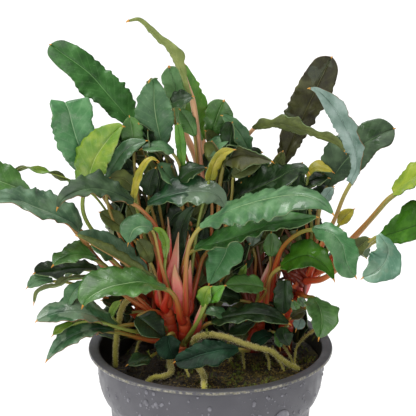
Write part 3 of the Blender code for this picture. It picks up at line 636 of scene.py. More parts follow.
# Painted light: its upper skin is lightened as if the leaf were lit through
PAINTED_LIGHT_SET = ("faint", "under_olive", "margin_pale", "stalk_pink")
GOLDEN = ("golden", "under_olive", "margin_pale", "stalk_green")
TOP_GREEN = ("green", "under_olive", "margin_pale", "stalk_pink")
TWISTED = ("under_pale", "pale", "margin_pale", "stalk_pink")
GREY = ("grey", "under_olive", "margin_red", "stalk_salmon")
BRIGHT = ("bright", "under_green", "margin_pale", "stalk_green")
FAR_BACK = ("dark", "under_green", "margin_pale", "stalk_brown")
FAR_OLIVE = ("under_olive", "green", "margin_red", "stalk_brown")
ROLLED = ("under_brown_olive", "dark", "margin_pale", "stalk_salmon")
YOUNG_TIP = ("young", "under_olive", "margin_pale", "stalk_salmon")
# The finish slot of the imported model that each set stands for
SETS_OF_SLOT = {
    "leaf_green": (GREEN, TOP_GREEN, OLIVE_SIDE, FAR_OLIVE, BACKLIT, PAINTED_LIGHT_SET, FOREST, LIT, JADE, ARCHING),
    "leaf_dark": (DARK, DEEP, MATTE, SHEEN, BRONZE, FAR_BACK, DULL, ROLLED),
    "leaf_pale": (PALE, SAGE, GREY, WET, MIST),
    "leaf_young": (YOUNG, GOLDEN, BRIGHT, TWISTED, YOUNG_TIP),
}
SLOTS = {skins: slot for slot, sets in SETS_OF_SLOT.items() for skins in sets}
print(len(SLOTS), "finish sets")

# %% Table of the large leaves
LEAVES = [
    # Upper left
    dict(name="upper_left", skins=FOREST, root=("back_left", 0.95, 120),
         stalk=[(151, 216, 19), (145, 167, 19)],
         rib=[(137, 132, 19), (126, 116, 20), (111, 98, 22), (93, 77, 25), (80, 66, 27), (63, 54, 30),
              (51, 45, 33)], left=[2, 9, 13, 18, 20.5, 17, 14, 9], right=[2, 12, 18, 17, 14, 14.5, 13, 9],
         face=(0.15, 0.35, 0.9), wave=0.75, pitch=15 * MM),
    dict(name="left_folded_tip", skins=JADE, root=("back_left", 0.85, 165),
         stalk=[(129, 238, 12), (107, 202, 11)],
         rib=[(94, 181, 11), (84, 155, 11), (78, 141, 11), (73, 124, 12), (70, 112, 12.5), (67, 105, 13.5),
              (66, 103, 15.5), (67, 108, 18.5)], left=[2, 10, 17, 19, 21, 21, 19, 14, 3],
         right=[2, 11, 18, 20, 20, 21, 23, 15, 3],
         face=[(-0.1, 0.2, 1), (-0.1, 0.2, 1), (-0.1, 0.2, 1), (0, 0.5, 0.8), (0, 1, -0.6)], wave=0.3),
    dict(name="left_young", skins=YOUNG, root=("back_left", 0.95, 230),
         stalk=[(129, 265, 8), (99, 238, 6), (84, 215, 5)],
         rib=[(83, 194, 5), (90, 175, 5), (97, 157, 5), (109, 140, 5), (119, 129, 6), (124, 127, 6.5)],
         left=[2, 11, 16, 19, 18.5, 16, 11, 2], right=[2, 10, 14, 16, 15, 13, 8, 2], face=(-0.35, 0.3, 1),
         wave=0.15, cup=6),
    dict(name="left_long", skins=SAGE, root=("back_left", 0.6, 215), stalk=[(118, 281, 8), (93, 254, 5)],
         rib=[(80, 232, 2), (72, 223, 1), (56, 215, 0), (36, 207, -2), (21, 201, -3), (0, 200, -5),
              (-25, 208, -8)], left=[2, 4, 6, 9, 11, 8, 5, 4, 3, 1],
         right=[6, 12, 14, 15, 15, 12, 9, 8, 6, 1], face=(0, 0.75, 0.65), wave=0.4, stalk_radius=1.2 * MM),
    dict(name="left_far", skins=GREEN, root=("back_left", 0.75, 190),
         stalk=[(124, 273, 14), (91, 240, 13), (64, 216, 10)],
         rib=[(42, 201, 8), (23, 190, 8), (0, 181, 8), (-17, 175, 9), (-32, 173, 10)],
         left=[2, 4, 9, 14, 15, 14, 9, 2], right=[2, 3, 8, 15, 17, 15, 9, 2], face=(0.1, 0.45, 0.9)),
    dict(name="left_twisted", skins=YOUNG, root=("back_left", 0.6, 150),
         stalk=[(124, 243, 19), (97, 198, 18)],
         rib=[(80, 186, 18), (67, 180, 18), (56, 174, 18), (45, 171, 18), (34, 168.5, 18), (22, 168, 18),
              (11, 174, 18)], left=[1, 3, 4, 4, 3.5, 3, 1], right=[1, 3, 4, 4, 3.5, 3, 1],
         face=(0, 0.4, 0.9), twist=[0, 160, 330, 480, 640], wave=0, cup=3, as_seen=False,
         stalk_radius=0.5 * MM),
    dict(name="left_low_green", skins=GREEN, root=("back_left", 0.5, 240),
         stalk=[(135, 303, 5), (113, 273, 2)],
         rib=[(97, 258, 0), (86, 255, -2), (72, 255, -4), (61, 260, -6.5), (54, 265, -8)],
         left=[2, 4, 5, 8, 9, 5, 1], right=[2, 7, 10.5, 10, 6, 8, 1], face=(0, 0.8, 0.6)),
    dict(name="left_low_dark", skins=DARK, root=("back_left", 0.4, 205),
         stalk=[(129, 308, 10), (110, 281, 8)],
         rib=[(97, 269, 7), (75, 268, 5), (55, 271, 3), (35, 273, 0)], left=[2, 3, 7, 6, 11, 6, 2],
         right=[3, 6, 6, 6.5, 8, 8, 3], face=(0, 0.8, 0.6)),
    # Top
    dict(name="shield", skins=PALE, root=("back", 0.95, 215), stalk=[(194, 232, 15), (175, 178, 14)],
         rib=[(163, 149, 14), (157, 122, 14), (154.6, 105, 14), (154.4, 92, 13.5), (154, 84, 12.4),
              (152.5, 80, 10.8), (150, 82, 9.6)], left=[3, 12, 18, 20.5, 20, 17, 13, 7, 2],
         right=[3, 9, 15, 18, 18, 16, 12, 6, 2],
         face=[(-0.1, 0.3, 1), (-0.1, 0.3, 1), (-0.1, 0.3, 1), (-0.1, 0.1, 1), (0, -1, 0.3)], wave=0.3),
    dict(name="top_behind", skins=PAINTED_LIGHT_SET, root=("back", 0.8, 130), stalk=[(202, 235, 27), (198, 165, 27)],
         rib=[(182, 129, 30), (179, 107, 30), (176, 88, 29), (171, 73, 28), (169, 67, 27)],
         left=[2, 6, 9, 11, 12, 12, 9], right=[2, 6, 9, 10, 10, 9, 7], face=(0, 0.3, 1),
         stalk_radius=1.4 * MM),
    dict(name="top_twisted", skins=TWISTED, root=("back", 0.95, 265),
         stalk=[(204, 210, 16), (200, 160, 16), (196, 120, 16)],
         rib=[(192, 100, 16), (187, 88, 16), (181, 70, 15), (172, 53, 14), (162, 42, 13.5), (152, 32, 13),
              (140, 22, 12), (129, 23, 11)], left=[1.5, 2, 2.5, 4, 4, 3, 5, 3, 2, 1],
         right=[1.5, 2, 3, 5, 8, 5, 3, 2.5, 2, 1], stalk_radius=1.25 * MM,
         face=[(-0.4, 0, 0.9), (-0.5, -0.4, 0.7), (-0.5, -0.5, 0.65)], wave=0.3, cup=-14),
    dict(name="top_bright", skins=BACKLIT, root=("back", 0.9, 100), stalk=[(212, 224, 24), (205, 168, 23)],
         rib=[(204, 140, 25), (197, 120, 24), (194, 103, 24), (190, 88, 24), (184, 65, 23)],
         left=[2, 5, 9, 10, 9, 6, 2], right=[2, 6, 11, 12, 10, 6, 2], face=(0.2, 0.3, 1),
         stalk_radius=1.4 * MM),
    dict(name="top_right", skins=TOP_GREEN, root=("back", 0.85, 45), stalk=[(221, 224, 23), (216, 173, 22)],
         rib=[(212, 143, 21), (213, 130, 20), (217, 117, 19), (221, 107, 18.5), (224, 101, 18)],
         left=[2, 5, 8, 10, 12, 13, 13, 12], right=[2, 5, 9, 14, 17, 17, 15, 13], face=(0.1, 0.3, 0.95),
         wave=0.5, stalk_radius=1.15 * MM),
    dict(name="rolled_margin", skins=ROLLED, root=("back", 0.9, 300),
         stalk=[(217, 238, 14), (220, 183, 13)],
         rib=[(225, 160, 12), (240, 155, 11), (257, 157, 9), (272, 162, 6)], left=[5, 12, 10, 6, 4, 3, 1],
         right=[6, 12, 17, 16, 12, 7, 1], face=(0, 0.5, 0.9), wave=0.7, roll=60),
    # Right
    dict(name="arching", skins=ARCHING, root=("right", 0.9, 110),
         stalk=[(262, 248, 19), (248, 189, 20), (243, 145, 19)],
         rib=[(253, 129, 17), (266, 126, 15), (280, 125, 13), (297, 129, 10), (318, 136, 6), (335, 142, 3),
              (344, 152, 1)], left=[2, 6, 5, 7.5, 8, 5, 3, 5, 3, 1], right=[2, 3, 4, 5, 6, 4, 3, 4, 3, 1],
         face=(0, -0.7, 0.7), wave=0.5, cup=-10),
    dict(name="tall_dark", skins=BRONZE, root=("right", 0.95, 60), stalk=[(273, 243, 19), (276, 197, 22)],
         rib=[(278, 171, 22), (288, 151, 22), (297, 130, 22), (306, 110, 22), (320, 80, 22), (331, 58, 21)],
         left=[2, 9, 13, 17, 19.5, 19.5, 18, 16, 12], right=[2, 6, 9, 11, 13.5, 15.5, 16, 14, 9],
         face=(0.1, 0.2, 1), wave=0.25),
    dict(name="white_midrib", skins=DARK, root=("back", 0.6, 335), stalk=[(227, 270, 15), (228, 227, 12)],
         rib=[(229, 206, 10), (240, 196, 9), (258, 188, 7.5), (276, 179, 6), (289, 171, 4), (301, 168, 3),
              (308, 173, 2)], left=[2, 9, 15, 17, 16, 14, 8, 5, 4, 2],
         right=[2, 7, 10, 12, 14, 17, 19, 17, 12, 3], face=(-0.1, 0.7, 0.7), wave=0.4),
    dict(name="dark_drooping", skins=LIT, root=("right", 0.75, 300), stalk=[(270, 278, 5)],
         rib=[(281, 266, 2), (292, 259, -1), (306, 255, -4), (318, 260, -6), (327, 268.5, -9),
              (333, 279, -11)], left=[2, 5, 11, 13.5, 13, 9, 5, 1], right=[2, 7, 13, 14.5, 13.5, 10, 5, 1],
         face=(0.1, 0.6, 0.8)),
    dict(name="green_drooping", skins=JADE, root=("right", 0.95, 330),
         stalk=[(276, 264, 7), (284, 245, 1), (298, 233, -5)],
         rib=[(312, 228, -10), (331, 233, -14), (341, 245, -17), (345, 260, -19), (350, 271, -19.5),
              (354, 276, -20)], left=[2, 6, 8, 8, 10, 13, 12, 7, 2],
         right=[2, 9, 13.5, 15.5, 15.5, 15, 15, 12, 3], face=(0.35, 0.5, 0.8), wave=0.35),
    dict(name="hanging_dark", skins=DARK, root=("far_right", 0.5, 250), stalk=[(287, 285, 1)],
         rib=[(285, 280, -2), (285, 293, -3.5), (284, 304, -4), (283.5, 314, -4)],
         left=[5, 7, 8, 8.5, 6, 1], right=[7, 10, 11.5, 10.5, 8, 1], face=(-0.2, 0.2, 1)),
    # Far right
    dict(name="right_pale", skins=GREY, root=("far_right", 0.85, 290),
         stalk=[(322, 243, -1), (334, 219, -3), (341, 200, -4)],
         rib=[(349, 183, -5), (355.5, 166, -6), (352, 145.5, -7), (344, 129, -8), (330, 106, -8),
              (317, 93, -8), (308, 90, -8)], left=[4, 4.5, 6, 8.5, 9, 9, 9, 8, 5, 1],
         right=[4, 4, 6, 8.5, 10, 10.5, 11, 10.5, 5, 1], face=(-0.5, 0.2, 0.9), wave=0.75, pitch=9 * MM),
    dict(name="right_round", skins=MATTE, root=("far_right", 0.9, 60),
         stalk=[(316, 238, 12), (319, 205, 12)],
         rib=[(327, 186, 11), (343, 163, 11), (361, 146, 11), (377, 136, 11), (393, 129, 12)],
         left=[3, 14, 21, 23, 21, 18, 17, 15, 11], right=[3, 8, 13, 18, 20, 17, 14, 15, 11],
         face=(-0.1, 0.35, 1), wave=0.35, pitch=15 * MM),
    dict(name="right_bright", skins=YOUNG_TIP, root=("far_right", 0.97, 350),
         stalk=[(335, 257, 5), (351, 240, 4), (370, 219, 3)],
         rib=[(392, 193, 2), (408, 181, 1), (419, 174, 0), (438, 168, -2), (457, 168, -5)],
         left=[3, 7, 9, 11, 13, 14, 12, 7, 2], right=[3, 7, 9, 11, 13, 14, 12, 7, 2], face=(-0.2, 0.8, 0.6),
         wave=0.3, stalk_radius=1.15 * MM),
    dict(name="right_edge", skins=LIT, root=("far_right", 0.8, 325), stalk=[(335, 265, 0), (360, 250, -3)],
         rib=[(378, 238, -5), (395, 232, -7), (416, 225, -10), (435, 223, -13), (454, 227, -16)],
         left=[3, 9, 15, 19, 21, 21, 18, 12, 3], right=[3, 9, 12, 15, 16, 16, 14, 9, 3], face=(0, 0.6, 0.8),
         wave=0.12),
    dict(name="right_crumpled", skins=MIST, root=("far_right", 0.7, 310),
         stalk=[(324, 278, -3), (354, 254, -9)],
         rib=[(377, 234, -14), (386, 247, -17), (384, 260, -18.5), (374, 271, -20), (361, 277, -21)],
         left=[2, 4, 6, 13, 17, 17, 13, 9, 4], right=[3, 8, 14, 17, 18, 16, 13, 8, 4],
         face=(0.3, 0.35, 0.9), wave=0.7),
    dict(name="over_rim", skins=GREEN, root=("far_right", 0.55, 290), stalk=[(305, 296, -3)],
         rib=[(314, 297, -11), (319, 307, -15), (321, 319, -18), (320, 329, -20), (318, 337, -21)],
         left=[2, 5, 10, 17, 17, 15, 9, 2], right=[8, 14, 15.5, 15, 13, 11, 7, 2], face=(0.1, 0.4, 0.9),
         cup=24),
    # Middle, in front
    dict(name="long_right", skins=PALE, root=("middle", 0.95, 290), stalk=[(186, 273, -6), (189, 246, -7)],
         rib=[(200, 225, -8), (230, 210, -12), (250, 203, -15), (270, 198, -18), (290, 195, -22),
              (307, 197, -25.5), (322, 204, -28.5), (331, 214, -31)],
         left=[2, 5, 9, 11, 11, 10, 10, 9.5, 6, 1], right=[2, 7, 10, 14, 15.5, 17, 17, 14, 8, 1],
         face=(0, 0.75, 0.65), wave=0.6, cup=-8),
    dict(name="long_right_lower", skins=FOREST, root=("middle", 0.9, 20),
         stalk=[(183, 276, 2), (186, 257, 0)],
         rib=[(195, 248, -2), (216, 243, -5), (235, 237, -7), (263, 227, -10), (285, 222, -12),
              (300, 220, -14), (316, 217, -16)], left=[2, 8, 11, 11, 11, 11, 9, 5, 1],
         right=[2, 5, 7, 6, 7, 6, 8, 8, 1], face=(0, 0.7, 0.7), wave=0.6),
    dict(name="hanging_middle", skins=JADE, root=("middle", 0.8, 55), stalk=[(197, 278, 6), (205, 254, 6)],
         rib=[(225, 242, 4), (226, 251, 2.5), (221, 262, 0.5), (215, 272, -1.5), (209, 284, -4)],
         left=[10, 18, 17, 13, 12, 8, 2], right=[8, 15, 16, 14, 11, 6, 2], face=(-0.1, 0.4, 0.9)),
    dict(name="left_waxy", skins=DULL, root=("left", 0.95, 200),
         stalk=[(161, 259, -1), (158, 229, -2), (146, 214, -3)],
         rib=[(134, 202, -4), (120, 195, -5), (105, 190, -6), (90, 189, -8), (75, 193, -10), (64, 200, -12),
              (59, 208, -13)], left=[2, 7, 8, 8.5, 9, 8, 6, 3, 1], right=[2, 6, 9, 14, 12, 12, 9, 6, 1],
         face=(0, 0.7, 0.7), wave=0.7),
    dict(name="left_channel", skins=SAGE, root=("left", 0.85, 250), stalk=[(167, 291, -5)],
         rib=[(156, 280, -7), (139, 270, -8), (120, 258, -9), (100, 247, -11), (86, 239, -13),
              (78, 235, -14)], left=[2, 5, 7, 8, 8, 5, 2], right=[3, 11, 19, 23, 22, 16, 4],
         face=(0, 0.9, 0.45), cup=32, roll=56, wave=0.3, as_seen=False),
    dict(name="left_main", skins=GREEN, root=("middle", 0.7, 250), stalk=[(179, 309, -7), (175, 296, -9)],
         rib=[(166, 287, -10), (155, 284, -12), (140, 281, -14), (125, 283, -16), (111, 286, -18),
              (98, 292, -20), (88, 299, -21.3), (84, 305, -22)], left=[2, 5, 10, 15, 17, 15, 11, 8, 5, 2],
         right=[2, 3, 7, 12, 14, 15, 18, 18, 14, 3], face=(0, 0.7, 0.7), wave=0.4, stalk_radius=1.0 * MM),
    dict(name="left_glossy", skins=WET, root=("left", 0.35, 200), stalk=[(151, 326, -3), (135, 324, -7)],
         rib=[(118, 326, -10), (100, 317, -12), (80, 311, -14), (60, 312, -15), (47, 316, -16),
              (38, 320, -17)], left=[2, 5, 7, 10, 12, 12, 9, 2], right=[2, 5, 9, 12, 11, 10, 8, 2],
         face=(0, 0.8, 0.6), wave=0.4),
    dict(name="low_left", skins=WET, root=("left", 0.05, 215), stalk=[(155, 341, -4), (131, 335, -9)],
         rib=[(114, 330, -13), (95, 328, -16), (75, 334, -19), (60, 345, -21), (48, 359, -23)],
         left=[2, 3, 6, 8, 9, 9, 7, 3, 1], right=[2, 4, 7, 9.5, 11, 10, 7, 4, 1], face=(0, 0.75, 0.65)),
    dict(name="round_dark", skins=DARK, root=("left", 0.6, 205), stalk=[(152, 311, -3)],
         rib=[(137, 316, -6), (145, 321, -8), (155, 329, -9.5), (165, 339, -10)],
         left=[2, 9, 13, 13, 10, 6, 1], right=[2, 10, 13, 13, 9, 4, 1], face=(0.1, 0.6, 0.8)),
    dict(name="round_small", skins=DEEP, root=("main", 0.9, 250), stalk=[(173, 333, -9)],
         rib=[(168, 335, -12), (169, 342, -13.5), (171, 350, -14.5), (176, 358, -15)],
         left=[3, 9, 11, 10, 7, 1], right=[4, 11, 13, 12.5, 8, 1], face=(-0.2, 0.5, 0.9)),
    dict(name="low_front", skins=DEEP, root=("right", 0.3, 270), stalk=[(248, 343, 2), (249, 350, -10)],
         rib=[(238, 348, -18), (224, 348, -19.5), (201, 353.5, -20.5), (188, 358, -21), (175, 361, -21.5)],
         left=[3, 9, 14, 16, 14, 12.5, 10, 6], right=[2, 4, 8, 10, 11.5, 10, 8, 5], face=(0, 0.5, 0.85),
         wave=0.4),
    dict(name="grey_sheen", skins=SHEEN, root=("left", 0.97, 130), stalk=[(159, 259, 5), (147, 224, 4)],
         rib=[(148, 204, 4), (165, 197, 3), (185, 192, 2), (205, 191, 1), (218, 196, 0), (225, 207, -1)],
         left=[2, 6, 10, 14, 15, 13, 10, 7, 2], right=[2, 5, 8, 13, 14, 16, 15, 9, 2],
         face=(0.05, 0.6, 0.8), wave=0.7),
    dict(name="low_middle", skins=DARK, root=("main", 0.9, 0), stalk=[(198, 330, -1)],
         rib=[(212, 321, -3), (225, 317, -5), (249, 313, -8), (270, 315, -10), (289, 323, -12)],
         left=[1.5, 4.5, 7, 7, 9.5, 7.5, 5, 1], right=[1.5, 7, 8.5, 10, 9.5, 9, 7, 1], face=(0, 0.75, 0.65),
         wave=0.4),
    # Behind: the photo hides these, so their widths are plausible ones
    dict(name="rear_left", skins=GREEN, root=("back_left", 0.7, 75), stalk=[(145, 281, 19)],
         rib=[(137, 254, 26), (126, 234, 35), (118, 228, 45), (113, 236, 54)], face=(0, 0.9, -0.1)),
    dict(name="rear_low_left", skins=DARK, root=("back_left", 0.55, 140), stalk=[(135, 300, 20)],
         rib=[(118, 285, 25), (99, 273, 31), (80, 270, 37), (64, 278, 42)], face=(0, 0.9, 0.1)),
    dict(name="rear_middle", skins=PALE, root=("back", 0.7, 75), stalk=[(219, 281, 24)],
         rib=[(224, 246, 29), (229, 217, 36), (235, 206, 45), (238, 212, 54)], face=(0, 0.9, -0.1)),
    dict(name="rear_right", skins=GREEN, root=("right", 0.55, 80), stalk=[(277, 281, 21)],
         rib=[(284, 243, 24), (297, 220, 32), (305, 213, 41), (311, 221, 50)], face=(0, 0.9, -0.1)),
    dict(name="rear_far_right", skins=DARK, root=("far_right", 0.8, 100), stalk=[(314, 280, 14)],
         rib=[(327, 262, 20), (346, 250, 28), (357, 248, 36), (368, 258, 44)], face=(0, 0.9, 0)),
]
REAR_WIDTHS = [3, 9, 14, 16, 16, 13, 8, 2]

# %% Make the large leaves
for number, row in enumerate(LEAVES):
    name = row.pop("name")
    if name.startswith("rear"):
        row.update(left=REAR_WIDTHS, right=REAR_WIDTHS, as_seen=False)
    made = make_leaf("leaf_" + name + "_blade", phase=0.37 * number, **row)
    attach(made, "root")
    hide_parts("leaf_" + name)
print(len(LEAVES), "large leaves")

# %% [markdown]
# ## Small leaves and sprouts
# Between the large leaves sit dozens of small ones, and they make the plant look dense. They are built the
# same way with thinner stalks, and placed one by one where the photo shows or suggests them. They have no
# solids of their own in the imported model, so all that share a finish slot are joined into one piece.

# %% Table of the small leaves
AHEAD = (0, 0.3, 1)
UPWARD = (0, 0.75, 0.65)
SLIM = [2, 6, 8, 6, 2]
MIDDLING = [2, 8, 10, 8, 2]
BROAD = [2, 9, 12, 9, 2]
